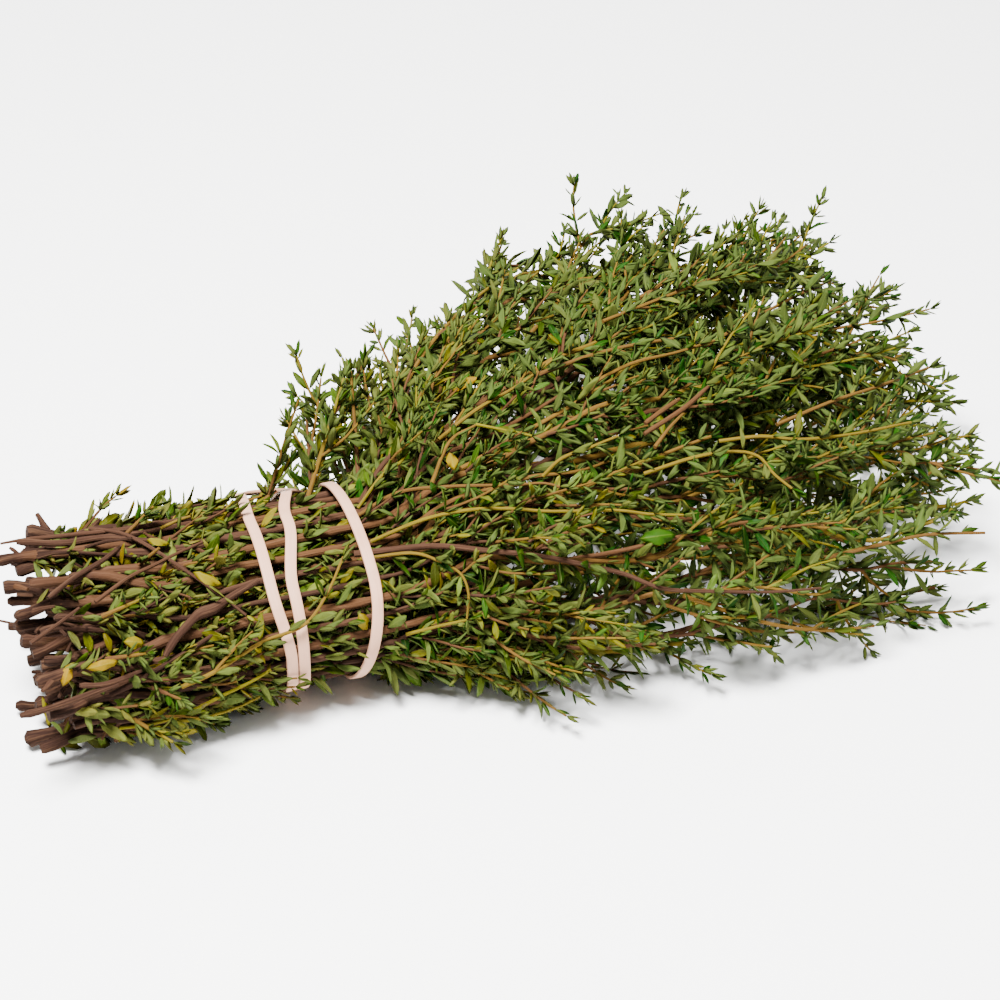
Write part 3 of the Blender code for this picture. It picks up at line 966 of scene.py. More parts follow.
FAN_HABIT = LeafHabit(
    mm(5.6, 8.4), (36, 100), mm(6.0, 9.4), (0.2, 0.3), tuft_share=0.9, branch_share=0.6,
    age=(0.06, 0.72), branch_opening=(24, 64),
)
FAR_HABIT = LeafHabit(
    mm(5.2, 7.6), (34, 92), mm(6.0, 9.2), (0.2, 0.3), tuft_share=0.9, branch_share=0.95,
    branch_length=mm(14, 30), branch_opening=(22, 56), outward_share=0.2, age=(0.0, 0.62),
)
SIDE_HABIT = LeafHabit(
    mm(5.4, 7.8), (30, 80), mm(6.4, 9.2), tuft_share=0.9, branch_share=0.95,
    branch_length=mm(14, 28), branch_opening=(26, 54), outward_share=0.8, age=(0.28, 0.82),
)
INNER_HABIT = LeafHabit(mm(7.5, 10.5), (30, 75), mm(6.0, 9.0), tuft_share=0.7, branch_share=0.4)
TIE_HABIT = LeafHabit(
    mm(2.8, 4.4), (8, 44), mm(4.6, 7.6), tuft_share=0.5, age=(0.34, 0.9), round_share=0.12,
)
BUTT_HABIT = LeafHabit(
    mm(3.8, 6.0), (20, 66), mm(5.2, 8.6), (0.24, 0.38), share=0.9, tuft_share=0.75,
    branch_share=0.5, age=(0.38, 1.0), round_share=0.18, branch_length=mm(8, 18),
    branch_opening=(14, 34), outward_share=0.7,
)
EDGE_HABIT = replace(FAN_HABIT, branch_opening=(10, 30), outward_share=0.0, age=(0.2, 0.8))
BRANCH_HABIT = LeafHabit(mm(3.6, 5.2), (28, 66), mm(5.0, 8.2), tuft_share=0.45)
SPUR_HABIT = LeafHabit(
    mm(3.0, 4.6), (32, 66), mm(5.2, 8.0), tuft_share=0.9, branch_share=0.8, age=(0.2, 0.75),
)


@dataclass
class Grower:
    """Grows side branches and leaves along centre lines, clear of the band and the loose pieces."""

    rng: random.Random
    clear_of: TakenSpace
    low: Vector
    high: Vector
    branch_radius: float = 0.45 * MM
    branch_steps: int = 5
    branch_taper: float = 0.45
    branch_shake: float = 0.09
    branch_pull: float = 0.1
    branch_turn: float = 0.9
    branch_room: float = 9 * MM
    branch_first_leaf: float = 3 * MM
    branch_wood_lost: float = 0.6
    leaf_shake: float = 0.36
    leaf_roll: float = 0.9
    leaf_checks: tuple[float, ...] = (0.1, 0.3, 0.5, 0.7, 0.85, 1.0)
    leaf_check_radius: float = 0.45
    young_below: float = 5.2 * MM
    round_wider: float = 1.35
    age_power: float = 1.5
    pair_turn: float = 0.35
    tuft_length: Pair = mm(3.2, 6.4)
    tuft_opening: Pair = (14, 62)
    tuft_sides: Pair = (-0.5, 0.5)
    tuft_turn: float = 0.3
    end_leaves: int = 4
    end_opening: Pair = (6, 26)
    end_length: Pair = (2.6, 4.8)
    end_room: float = 0.6 * MM
    shorter_near_tip: float = 14 * MM
    bare_step: float = 4 * MM
    band_gap: float = 0.6 * MM

    def fits(self, point: Vector) -> bool:
        """True if a point is inside the bunch's own box."""
        return all(low <= c <= high for low, c, high in zip(self.low, point, self.high))

    def sides(self, direction: Vector, roll: float) -> Vector:
        """Finds a direction square to the stem.

        Args:
            direction: The stem's direction.
            roll: How far round it, in radians.

        Returns:
            The direction.
        """
        side = direction.cross(Vector((0, 0, 1)))
        side = side.normalized() if side.length > 0.1 else direction.orthogonal().normalized()
        return Matrix.Rotation(roll, 3, direction) @ side

    def add_leaf(
        self,
        foliage: Foliage,
        root: Vector,
        direction: Vector,
        roll: float,
        opening: float,
        length: float,
        habit: LeafHabit,
    ) -> None:
        """Adds one leaf where it keeps clear.

        Args:
            foliage: What the leaf joins.
            root: Where it leaves the stem.
            direction: The stem's direction there.
            roll: How far round the stem, in radians.
            opening: How far it opens from the stem, in degrees.
            length: The leaf's length.
            habit: How leaves grow here.
        """
        outward = self.sides(direction, roll)
        turn = math.radians(opening)
        pointing = direction * math.cos(turn) + outward * math.sin(turn)
        pointing += shake(self.rng, self.leaf_shake)
        pointing.normalize()
        facing = direction * math.sin(turn) - outward * math.cos(turn)
        facing = Matrix.Rotation(self.rng.gauss(0.0, self.leaf_roll), 3, pointing) @ facing
        tip = root + pointing * length
        if not self.fits(tip):
            return
        width = length * self.rng.uniform(*habit.width)
        radius = width * self.leaf_check_radius
        balls = [(root.lerp(tip, share), radius) for share in self.leaf_checks]
        if not self.clear_of.is_clear("", balls, self.band_gap):
            return
        kind = LeafKind.YOUNG
        if length >= self.young_below:
            kind = self.rng.choice((LeafKind.BLADE, LeafKind.CUPPED))
            if self.rng.random() < habit.round_share:
                kind = LeafKind.ROUND
                width *= self.round_wider
        youngest, oldest = habit.age
        age = youngest + (oldest - youngest) * self.rng.random() ** self.age_power
        tone = self.rng.random()
        foliage.leaves.append(Leaf(root, pointing, facing, length, width, kind, tone, age))

    def add_pair(
        self, foliage: Foliage, route: Route, place: float, roll: float, habit: LeafHabit,
        size: float
    ) -> None:
        """Adds a pair of leaves and, often, small leaves in their axils.

        Args:
            foliage: What the leaves join.
            route: The stem.
            place: Where on the stem.
            roll: How far round the stem, in radians.
            habit: How leaves grow here.
            size: Share of the full leaf length.
        """
        root, direction, radius = route.at(place)
        for half_turn in (0, math.pi):
            if self.rng.random() > habit.share:
                continue
            opening = self.rng.uniform(*habit.opening) * (0.55 + 0.45 * size)
            length = self.rng.uniform(*habit.length) * size
            start = root + self.sides(direction, roll + half_turn) * radius * 0.6
            self.add_leaf(foliage, start, direction, roll + half_turn, opening, length, habit)
            if self.rng.random() < habit.tuft_share:
                for spread in self.tuft_sides:
                    opening = self.rng.uniform(*self.tuft_opening)
                    length = self.rng.uniform(*self.tuft_length) * (0.6 + 0.4 * size)
                    turned = roll + half_turn + spread
                    turned += self.rng.uniform(-self.tuft_turn, self.tuft_turn)
                    self.add_leaf(foliage, start, direction, turned, opening, length, habit)

    def roll_towards(self, direction: Vector, outward: Vector) -> float:
        """How far round the stem a direction out of the bunch lies."""
        side = self.sides(direction, 0.0)
        return math.atan2(outward.dot(direction.cross(side)), outward.dot(side))

    def wander(
        self,
        root: Vector,
        heading: Vector,
        length: float,
        steps: int,
        reach: float,
        pulled_to: Vector | None = None,
    ) -> list[Vector]:
        """Lays a short twig that wanders.

        Args:
            root: Where it starts.
            heading: Its first direction.
            length: Its length.
            steps: How many straight parts it has.
            reach: How far each part strays.
            pulled_to: A direction that it bends to, if any.

        Returns:
            Its points, from the root.
        """
        points = [root]
        for _ in range(steps):
            if pulled_to is not None:
                heading = heading * (1 - self.branch_pull) + pulled_to * self.branch_pull
            heading = (heading + shake(self.rng, reach)).normalized()
            points.append(points[-1] + heading * length / steps)
        return points

    def grow_branch(
        self, foliage: Foliage, root: Vector, direction: Vector, roll: float, wood: float,
        habit: LeafHabit
    ) -> None:
        """Adds a short side branch with its own leaves.

        Args:
            foliage: What the branch joins.
            root: Where it leaves the stem.
            direction: The stem's direction there.
            roll: How far round the stem, in radians.
            wood: How woody the stem is there.
            habit: How the stem's leaves and branches grow there.
        """
        length = self.rng.uniform(*habit.branch_length)
        opening = math.radians(self.rng.uniform(*habit.branch_opening))
        heading = direction * math.cos(opening) + self.sides(direction, roll) * math.sin(opening)
        steps = self.branch_steps
        points = self.wander(root, heading, length, steps, self.branch_shake, direction)
        radii = tapered(self.branch_radius, self.branch_taper, steps)
        route = Route(evenly(0.0, length, steps), points, radii)
        clear = self.clear_of.is_clear("", route.balls(), self.band_gap)
        if not clear or not self.fits(points[-1]):
            return
        woods = tapered(wood, self.branch_wood_lost, steps)
        foliage.stalks.append(Stalk(points, radii, woods, self.rng.random()))
        leaves = replace(BRANCH_HABIT, age=habit.age, round_share=habit.round_share)
        self.grow_leaves(foliage, route, self.branch_first_leaf, length, lambda _: leaves)

    def grow_leaves(
        self,
        foliage: Foliage,
        route: Route,
        start: float,
        end: float,
        habit_at: Callable[[float], LeafHabit | None],
        wood_at: Callable[[float], float] | None = None,
        outward: Vector | None = None,
    ) -> None:
        """Grows crossed pairs of leaves and side branches up to a tip.

        Args:
            foliage: What the leaves join.
            route: The stem.
            start: Place of the first pair.
            end: Place of the tip.
            habit_at: How leaves grow at a place, or None where none grow.
            wood_at: How woody the stem is at a place, for its branches.
            outward: Direction out of the bunch, which some branches take.
        """
        roll = self.rng.uniform(0, math.pi)
        place = start
        while place < end - self.end_room:
            habit = habit_at(place)
            if habit is None:
                place += self.bare_step
                continue
            size = min(1.0, 0.5 + 0.5 * (end - place) / self.shorter_near_tip)
            roll += math.pi / 2 + self.rng.uniform(-self.pair_turn, self.pair_turn)
            self.add_pair(foliage, route, place, roll, habit, size)
            branches = wood_at and self.rng.random() < habit.branch_share
            if branches and place < end - self.branch_room:
                root, direction, _ = route.at(place)
                turned = roll + self.rng.choice((0.0, math.pi))
                if outward and self.rng.random() < habit.outward_share:
                    turned = self.roll_towards(direction, outward)
                    turned += self.rng.uniform(-self.branch_turn, self.branch_turn)
                self.grow_branch(foliage, root, direction, turned, wood_at(place), habit)
            place += self.rng.uniform(*habit.spacing) * (0.35 + 0.65 * size)
        tip, direction, _ = route.at(end)
        for i in range(self.end_leaves):
            opening = self.rng.uniform(*self.end_opening)
            length = self.rng.uniform(*self.end_length) * MM
            turned = roll + i * math.pi / 2
            self.add_leaf(foliage, tip, direction, turned, opening, length, habit_at(end))


@dataclass(frozen=True)
class CrossingZone:
    """Where stems cross over their neighbours, and how they run."""

    count: int
    start: Pair
    length: Pair
    until: float
    drift: Pair
    off: Pair
    radius: Pair
    habit: LeafHabit
    bulge: float = 50.0
    bare_share: float = 0.3
    wood: float = 1.0


BUTT_CROSSING = CrossingZone(
    2, mm(-66, -34), mm(18, 42), -17 * MM, (10, 34), mm(1.8, 3.2), mm(0.5, 0.95),
    replace(BUTT_HABIT, branch_share=0.15),
)
FAN_CROSSING = CrossingZone(
    1, mm(20, 70), mm(45, 95), 150 * MM, (4, 16), mm(1.8, 4.0), mm(0.55, 0.85),
    replace(FAN_HABIT, branch_share=0.35), bare_share=0.45, wood=0.7,
)


@dataclass
class SprigFoliage:
    """Dresses one sprig's lines: bark radii with nodes, stubs, then leaves zone by zone."""

    grower: Grower
    rng: random.Random
    fan: FanShape
    butt_until: float = -13 * MM
    tie_until: float = 12 * MM
    side_until: float = 62 * MM
    side_share: float = 0.45
    edge_until: float = 150 * MM
    hidden_until: float = 58 * MM
    far_from: float = 95 * MM
    first_leaf: float = 6 * MM
    knot_every: Pair = mm(6, 11)
    knot_share: float = 0.2
    heel_length: float = 7 * MM
    heel_share: Pair = (0.0, 0.6)
    stub_length: Pair = mm(2.5, 7)
    stub_count: int = 4
    inner_stub_count: int = 2
    ragged_end: float = 10 * MM
    thorn_length: Pair = mm(10, 24)
    thorn_opening: Pair = (12, 30)
    thorn_thick: float = 0.45
    stub_opening: Pair = (24, 58)
    stub_thick: Pair = (0.4, 0.72)
    stub_turn: float = 1.3
    stub_room: float = 8 * MM
    stub_steps: int = 4
    stub_shake: float = 0.16
    stub_rough: Pair = (0.85, 1.2)
    taper: float = 0.4
    gap: float = 0.3 * MM
    bark_rough: Pair = (0.92, 1.08)
    cut_before: float = -40 * MM
    cut_radius: Pair = (0.45, 0.95)
    heel_wood: float = 2.5
    wood_marks: Marks = ((-60, 1.0), (0, 0.86), (60, 0.62), (130, 0.34), (200, 0.12))
    crossing_step: float = 4 * MM
    crossing_rise: float = 4
    shoot_first_leaf: float = 14 * MM
    spur_first_leaf: float = 3 * MM
    spur_slimmer: float = 0.75
    spur_woods: tuple[float, ...] = (0.6, 0.5, 0.4, 0.3, 0.2)
    spur_branch_wood: float = 0.4

    @property
    def tie(self) -> TiedSection:
        """The tied section."""
        return self.fan.tie

    def wood_along(self, place: float) -> float:
        """How woody a stem is at a place: fully behind the band, hardly at the tips."""
        return read_marks(self.wood_marks, place / MM)

    def stalk(self, route: Route) -> Stalk:
        """Turns a route into rings, with swollen nodes and a ragged, knobbly heel at the cut end.

        Args:
            route: The stem's route.

        Returns:
            The stalk.
        """
        at_cut = route.places[0] < self.cut_before
        heel = self.rng.uniform(*self.heel_share) if at_cut else 0.0
        knot = route.places[0] + self.rng.uniform(*self.knot_every)
        radii, woods = [], []
        for place, radius in zip(route.places, route.radii):
            near_end = heel * max(0.0, 1 - (place - route.places[0]) / self.heel_length)
            swell = 1 + near_end
            if place > knot:
                swell += self.knot_share
                knot = place + self.rng.uniform(*self.knot_every)
            radii.append(radius * swell * self.rng.uniform(*self.bark_rough))
            woods.append(self.wood_along(place) + self.heel_wood * near_end)
        if at_cut:
            radii[0] *= self.rng.uniform(*self.cut_radius)
        return Stalk(route.points, radii, woods, self.rng.random())

    def habit_at(self, lines: SprigLines) -> Callable[[float], LeafHabit | None]:
        """Finds how leaves grow along a stem of this sprig.

        Args:
            lines: The sprig's lines.

        Returns:
            A function from a place to the habit there, or to None where no leaves grow.
        """
        outer = lines.ring >= self.tie.outermost - 1
        at_side = lines.ring == self.tie.outermost and abs(lines.slot[0]) > self.side_share
        at_far_side = outer and lines.slot[0] > self.side_share

        def choose(place: float) -> LeafHabit | None:
            """Picks by zone.

            Args:
                place: Distance along the stem from the band.

            Returns:
                The habit or None.
            """
            if place < self.butt_until:
                return BUTT_HABIT if outer else None
            if place < self.tie_until:
                return TIE_HABIT if outer else None
            if at_side and place < self.side_until:
                return SIDE_HABIT
            if at_far_side and place < self.edge_until:
                return EDGE_HABIT
            if place > self.far_from:
                return FAR_HABIT
            if outer:
                return FAN_HABIT
            return INNER_HABIT if place > self.hidden_until else None

        return choose

    def add_stubs(self, foliage: Foliage, lines: SprigLines, outward: Vector) -> None:
        """Adds broken side twigs behind the band, and on the outside one long bare one.

        Args:
            foliage: What they join.
            lines: The sprig's lines.
            outward: Direction out of the bunch.
        """
        outer = lines.ring == self.tie.outermost
        first = lines.stem.places[0] + 1 * MM
        last = self.butt_until - self.stub_room if outer else first + self.ragged_end
        steps = self.stub_steps
        for number in range(self.stub_count if outer else self.inner_stub_count):
            place = self.rng.uniform(first, last)
            root, direction, radius = lines.stem.at(place)
            long_one = outer and number == 0
            length = self.rng.uniform(*(self.thorn_length if long_one else self.stub_length))
            limits = self.thorn_opening if long_one else self.stub_opening
            opening = math.radians(self.rng.uniform(*limits))
            roll = self.grower.roll_towards(direction, outward)
            roll += self.rng.uniform(-self.stub_turn, self.stub_turn)
            side = self.grower.sides(direction, roll)
            ahead = self.rng.choice((1, -1)) if not long_one else 1
            heading = direction * (math.cos(opening) * ahead) + side * math.sin(opening)
            thick = radius * (self.thorn_thick if long_one else self.rng.uniform(*self.stub_thick))
            points = self.grower.wander(root, heading, length, steps, self.stub_shake)
            thinning = tapered(thick, self.taper, steps)
            radii = [thin * self.rng.uniform(*self.stub_rough) for thin in thinning]
            route = Route(evenly(0.0, length, steps), points, radii)
            if self.grower.fits(points[-1]) and self.is_clear(route):
                foliage.stalks.append(Stalk(points, radii, [1.0] * (steps + 1), self.rng.random()))

    def is_clear(self, route: Route) -> bool:
        """True if a route keeps clear of the band and of what shows."""
        return self.grower.clear_of.is_clear("", route.balls(), self.gap)

    def add_crossing(self, foliage: Foliage, lines: SprigLines, zone: CrossingZone) -> None:
        """Adds stems that leave this one and lie across its neighbours on the outside.

        Args:
            foliage: What they join.
            lines: The sprig's lines.
            zone: Where they start and how they run.
        """
        first_angle = math.degrees(math.atan2(lines.slot[1], lines.slot[0]))
        for _ in range(zone.count):
            start = self.rng.uniform(*zone.start)
            end = min(start + self.rng.uniform(*zone.length), zone.until)
            drift = self.rng.uniform(*zone.drift) * self.rng.choice((-1, 1))
            off, radius = self.rng.uniform(*zone.off), self.rng.uniform(*zone.radius)
            steps = max(4, round((end - start) / self.crossing_step))
            points = []
            for i in range(steps + 1):
                share = i / steps
                slot = slot_at(first_angle + drift * share)
                lift = self.tie.outward(slot) * (off * eased(share * self.crossing_rise))
                place = start + (end - start) * share
                points.append(self.fan.point(slot, place, zone.bulge) + lift)
            radii = tapered(radius, self.taper, steps)
            route = Route(evenly(start, end, steps), points, radii)
            inside = all(self.grower.fits(point) for point in points)
            low = min(point.z for point in points) < radius + self.gap
            if low or not inside or not self.is_clear(route):
                continue
            woods = [self.wood_along(place) * zone.wood for place in route.places]
            foliage.stalks.append(Stalk(points, radii, woods, self.rng.random()))
            leafy = start + (end - start) * zone.bare_share
            self.grower.grow_leaves(
                foliage, route, leafy, end, lambda _: zone.habit, self.wood_along
            )

    def grow(self, lines: SprigLines) -> Foliage:
        """Grows one sprig.

        Args:
            lines: Its centre lines.

        Returns:
            Its stems and leaves.
        """
        foliage = Foliage([self.stalk(lines.stem)])
        habit_at = self.habit_at(lines)
        outward = self.tie.outward(lines.slot)
        self.add_stubs(foliage, lines, outward)
        if lines.ring == self.tie.outermost:
            for zone in (BUTT_CROSSING, FAN_CROSSING):
                self.add_crossing(foliage, lines, zone)
        start = lines.stem.places[0] + self.first_leaf
        self.grower.grow_leaves(
            foliage, lines.stem, start, lines.stem.places[-1], habit_at, self.wood_along, outward
        )
        if lines.shoot:
            foliage.stalks.append(self.stalk(lines.shoot))
            start = lines.shoot.places[0] + self.shoot_first_leaf
            self.grower.grow_leaves(
                foliage, lines.shoot, start, lines.shoot.places[-1], habit_at, self.wood_along,
                outward
            )
        for spur in lines.spurs:
            steps = len(self.spur_woods) - 1
            points = [spur.points[0].lerp(spur.points[1], i / steps) for i in range(steps + 1)]
            radii = [radius * self.spur_slimmer for radius in evenly(*spur.radii, steps)]
            foliage.stalks.append(Stalk(points, radii, list(self.spur_woods), self.rng.random()))
            self.grower.grow_leaves(
                foliage, spur, self.spur_first_leaf, spur.places[-1], lambda _: SPUR_HABIT,
                lambda _: self.spur_branch_wood,
            )
        return foliage


@dataclass(frozen=True)
class OutsideSpot:
    """A spot on the outside of the bunch: place along it, degrees round it and millimetres out."""

    place: float
    angle: float
    off: float

    def slot(self) -> Pair:
        """The outermost slot at this angle."""
        return slot_at(self.angle)

    def outward(self, tie: TiedSection) -> Vector:
        """Direction out of the bunch."""
        return tie.outward(self.slot())

    def point(self, fan: FanShape, bulge: float = 50.0) -> Vector:
        """Where the spot is, measured from the middle of the tied section."""
        on_stem = fan.point(self.slot(), self.place * MM, bulge)
        return on_stem + self.outward(fan.tie) * self.off * MM


SHOWN_HABIT = LeafHabit(
    mm(6.4, 9.4), (40, 96), mm(5.6, 8.4), share=0.85, tuft_share=0.55, branch_share=0.12,
    age=(0.15, 0.7),
)
SHOWN_TIP_HABIT = replace(FAR_HABIT, branch_share=0.6, branch_length=mm(8, 18))
SHOWN_BUTT_HABIT = replace(SHOWN_HABIT, share=0.4, tuft_share=0.2, branch_share=0.1, age=(0.5, 1.0))


@dataclass(frozen=True)
class ShownStem:
    """A stem or broken twig that shows on the outside, laid by marks of (place, degrees round)."""

    marks: Marks
    off: float
    radii: Marks
    wood: float
    tone: float = 0.5
    start_off: float | None = None
    leafy_from: float = 0.25
    habit: LeafHabit = SHOWN_HABIT

    def route(self, fan: FanShape) -> Route:
        """Lays its rounded centre line.

        Args:
            fan: The bunch's shape.

        Returns:
            The route.
        """
        offs = [self.off] * len(self.marks)
        offs[0] = self.off if self.start_off is None else self.start_off
        points = [OutsideSpot(*mark, off).point(fan) for mark, off in zip(self.marks, offs)]
        route = smoothed(Route.through(points), 5)
        end = route.places[-1]
        route.radii = [read_marks(self.radii, place / end, straight) * MM for place in route.places]
        return route

    def grow(self, fan: FanShape, grower: Grower) -> Foliage:
        """Its stalk and leaves.

        Args:
            fan: The bunch's shape.
            grower: Grows the leaves.

        Returns:
            What the stem adds to its sprig.
        """
        route = self.route(fan)
        foliage = Foliage(
            [Stalk(route.points, route.radii, [self.wood] * len(route.points), self.tone)]
        )
        if self.leafy_from < 1:
            end, outward = route.places[-1], OutsideSpot(*self.marks[-1], self.off).outward(fan.tie)
            start = end * self.leafy_from
            grower.grow_leaves(
                foliage, route, start, end, lambda _: self.habit, lambda _: self.wood, outward
            )
        return foliage


@dataclass(frozen=True)
class ShownLeaf:
    """A leaf that stands out: where its root is, how it points, and its size in millimetres."""

    root: OutsideSpot
    heading: float
    pitch: float
    length: float
    width: float
    age: float
    kind: LeafKind = LeafKind.ROUND
    tone: float = 0.79

    def grow(self, fan: FanShape) -> Leaf:
        """Lays the leaf.

        Args:
            fan: The bunch's shape.

        Returns:
            The leaf, measured from the tied section's middle.
        """
        root, outward = self.root.point(fan), self.root.outward(fan.tie)
        along = (replace(self.root, place=self.root.place + 4).point(fan) - root).normalized()
        turn = math.radians(self.heading)
        pointing = along * math.cos(turn) + along.cross(outward) * math.sin(turn)
        pointing += outward * self.pitch
        pointing.normalize()
        length, width = self.length * MM, self.width * MM
        return Leaf(root, pointing, outward, length, width, self.kind, self.tone, self.age)


THIN: Marks = ((0, 0.46), (1, 0.3))
SLIM: Marks = ((0, 0.56), (1, 0.36))
STOUT: Marks = ((0, 0.85), (0.3, 0.72), (0.8, 0.45), (1, 0.3))
BROKEN: Marks = ((0, 0.5), (0.06, 0.76), (0.2, 0.64), (0.5, 0.7), (0.94, 0.58), (1, 0.4))
SHOWN_STEMS = (
    ShownStem(
        ((-42, 156), (-39, 148), (-35, 141), (-32, 137), (-28, 136), (-23, 132), (-16, 127)), 2.9,
        ((0, 0.7), (0.1, 1.0), (0.38, 1.05), (0.47, 1.55), (0.56, 1.45), (0.66, 1.0), (1, 0.8)),
        0.86, 0.75,
        leafy_from=1,
    ),
    ShownStem(
        ((-54, 210), (-46, 205), (-37, 201), (-29, 192), (-22, 187), (-17, 181)), 3.2, SLIM, 0.0,
        0.5, 1.5, 0.1,
        replace(SHOWN_BUTT_HABIT, share=0.8, tuft_share=0.5, age=(0.62, 0.95)),
    ),
    ShownStem(
        ((-43, 203), (-38, 206), (-31, 208), (-25, 206), (-20, 200)), 4.6, THIN, 0.2, 0.3, 3.0, 1
    ),
    ShownStem(((-63, 160), (-58, 163), (-54, 163), (-48, 161)), 2.6, BROKEN, 1.0, 0.4, None, 1),
    ShownStem(
        ((-78, 167), (-72, 168), (-63, 167), (-54, 165)), 2.4,
        ((0, 0.6), (0.1, 1.0), (0.25, 0.8), (1, 0.75)), 1.0, 0.5, None, 1
    ),
    ShownStem(
        ((-72, 72), (-65, 70), (-58, 71), (-44, 72), (-37, 72), (-28, 73), (-15, 72)), 3.0,
        ((0, 0.3), (0.25, 0.62), (0.8, 0.66), (1, 0.5)), 0.95, 0.35, None, 1,
    ),
    ShownStem(
        ((-68, 70), (-58, 77), (-48, 77), (-38, 86)), 2.6,
        ((0, 0.7), (0.06, 1.1), (0.2, 0.8), (0.4, 0.9), (1, 0.6)), 0.92, 0.6, None, 1
    ),
    ShownStem(((-65, 111), (-58, 104), (-51, 97), (-45, 88)), 3.0, BROKEN, 0.95, 0.6, 1.5, 1),
    ShownStem(
        ((-55, 119), (-46, 110), (-39, 105), (-34, 101), (-26, 97)), 3.2, SLIM, 0.8, 0.5, 2.2, 1
    ),
    ShownStem(((-72, 133), (-65, 127), (-59, 121)), 2.8, SLIM, 0.95, 0.5, None, 1),
    ShownStem(((-34, 74), (-28, 74), (-21, 73)), 3.4, THIN, 0.2, 0.5, 2.2, 0.6, SHOWN_BUTT_HABIT),
    ShownStem(
        ((14, 90), (21, 86), (27, 86), (32, 81), (39, 74), (46, 72), (50, 72)), 7.0, THIN, 0.0, 0.6,
        1.5, 0.12,
        replace(SHOWN_HABIT, spacing=mm(4.6, 6.8), age=(0.4, 0.62), tuft_share=0.9),
    ),
    ShownStem(
        ((13, 94), (23, 98), (34, 112), (49, 120), (57, 122), (62, 126)), 5.2, SLIM, 0.5, 0.4, 0.4
    ),
    ShownStem(
        ((14, 114), (26, 119), (37, 126), (47, 129), (56, 132), (71, 135), (79, 138), (87, 140)),
        5.6, SLIM, 0.12,
        0.5, 0.4,
    ),
    ShownStem(
        (
            (9, 120), (26, 132), (39, 144), (50, 147), (60, 151), (70, 156), (79, 163), (90, 166),
            (105, 168), (118, 167)
        ),
        5.0, STOUT, 0.95, 0.35, 0.4, 0.2,
    ),
    ShownStem(
        ((10, 124), (21, 131), (27, 141), (31, 150), (32, 160), (31, 172)), 5.8, THIN, 0.2, 0.5,
        0.4, 0.5
    ),
    ShownStem(((17, 177), (25, 172), (31, 173)), 5.6, THIN, 0.1, 0.5, 2.0, 0.7),
    ShownStem(((87, 113), (93, 111), (100, 109)), 7.0, BROKEN, 0.6, 0.4, None, 1),
    ShownStem(((85, 116), (99, 112), (110, 108)), 7.6, BROKEN, 0.62, 0.45, None, 1),
    ShownStem(((86, 120), (92, 116), (98, 113)), 7.0, SLIM, 0.4, 0.5, None, 1),
    ShownStem(
        ((82, 125), (94, 125), (105, 125), (111, 127), (113, 132), (116, 136)), 7.0, SLIM, 0.15,
        0.5, 3.0
    ),
    ShownStem(
        ((105, 120), (115, 122), (125, 124), (140, 125), (158, 126)), 6.8, SLIM, 0.15, 0.5, 3.0
    ),
    ShownStem(((32, 103), (39, 96), (48, 94)), 6.6, SLIM, 0.45, 0.3, 2.5, 0.3),
    ShownStem(((48, 94), (56, 103), (59, 106)), 6.8, THIN, 0.0, 0.5, None, 0.3),
    ShownStem(((39, 86), (51, 88), (66, 87), (80, 85)), 6.8, SLIM, 0.2, 0.5, 3.0, 0.4),
    ShownStem(((58, 118), (63, 116), (71, 115), (79, 114)), 6.6, SLIM, 0.15, 0.5, 3.0, 0.4),
    ShownStem(((82, 94), (96, 96), (111, 97), (126, 97)), 6.8, SLIM, 0.4, 0.4, 3.0, 0.35),
    ShownStem(((15, 85), (22, 74), (28, 70)), 4.6, BROKEN, 0.95, 0.3, 1.0, 1),
    ShownStem(
        ((121, 157), (135, 153), (148, 152), (163, 154)), 4.6, SLIM, 0.5, 0.4, 2.0, 0.1,
        SHOWN_TIP_HABIT
    ),
    ShownStem(
        ((124, 118), (142, 117), (158, 117), (180, 114)), 6.0, SLIM, 0.4, 0.5, 3.0, 0.2,
        SHOWN_TIP_HABIT
    ),
    ShownStem(
        ((110, 78), (139, 82), (162, 83), (182, 83)), 6.0, SLIM, 0.35, 0.5, 3.0, 0.1,
        SHOWN_TIP_HABIT
    ),
    ShownStem(
        ((122, 94), (143, 93), (166, 91), (192, 87)), 2.4, SLIM, 0.4, 0.5, 0.5, 0.05,
        SHOWN_TIP_HABIT
    ),
    ShownStem(
        ((150, 98), (170, 96), (192, 93), (204, 92)), 1.0, THIN, 0.3, 0.5, None, 0.05,
        SHOWN_TIP_HABIT
    ),
    ShownStem(
        ((135, 74), (161, 75), (189, 72), (203, 71)), 3.0, SLIM, 0.4, 0.5, 0.5, 0.05,
        SHOWN_TIP_HABIT
    ),
    ShownStem(
        ((85, 169), (103, 184), (120, 197), (134, 200)), 3.6, SLIM, 0.4, 0.4, 2.0, 0.1,
        SHOWN_TIP_HABIT
    ),
    ShownStem(
        ((80, 172), (97, 188), (112, 204), (124, 208)), 3.0, THIN, 0.4, 0.5, 2.0, 0.2,
        SHOWN_TIP_HABIT
    ),
)
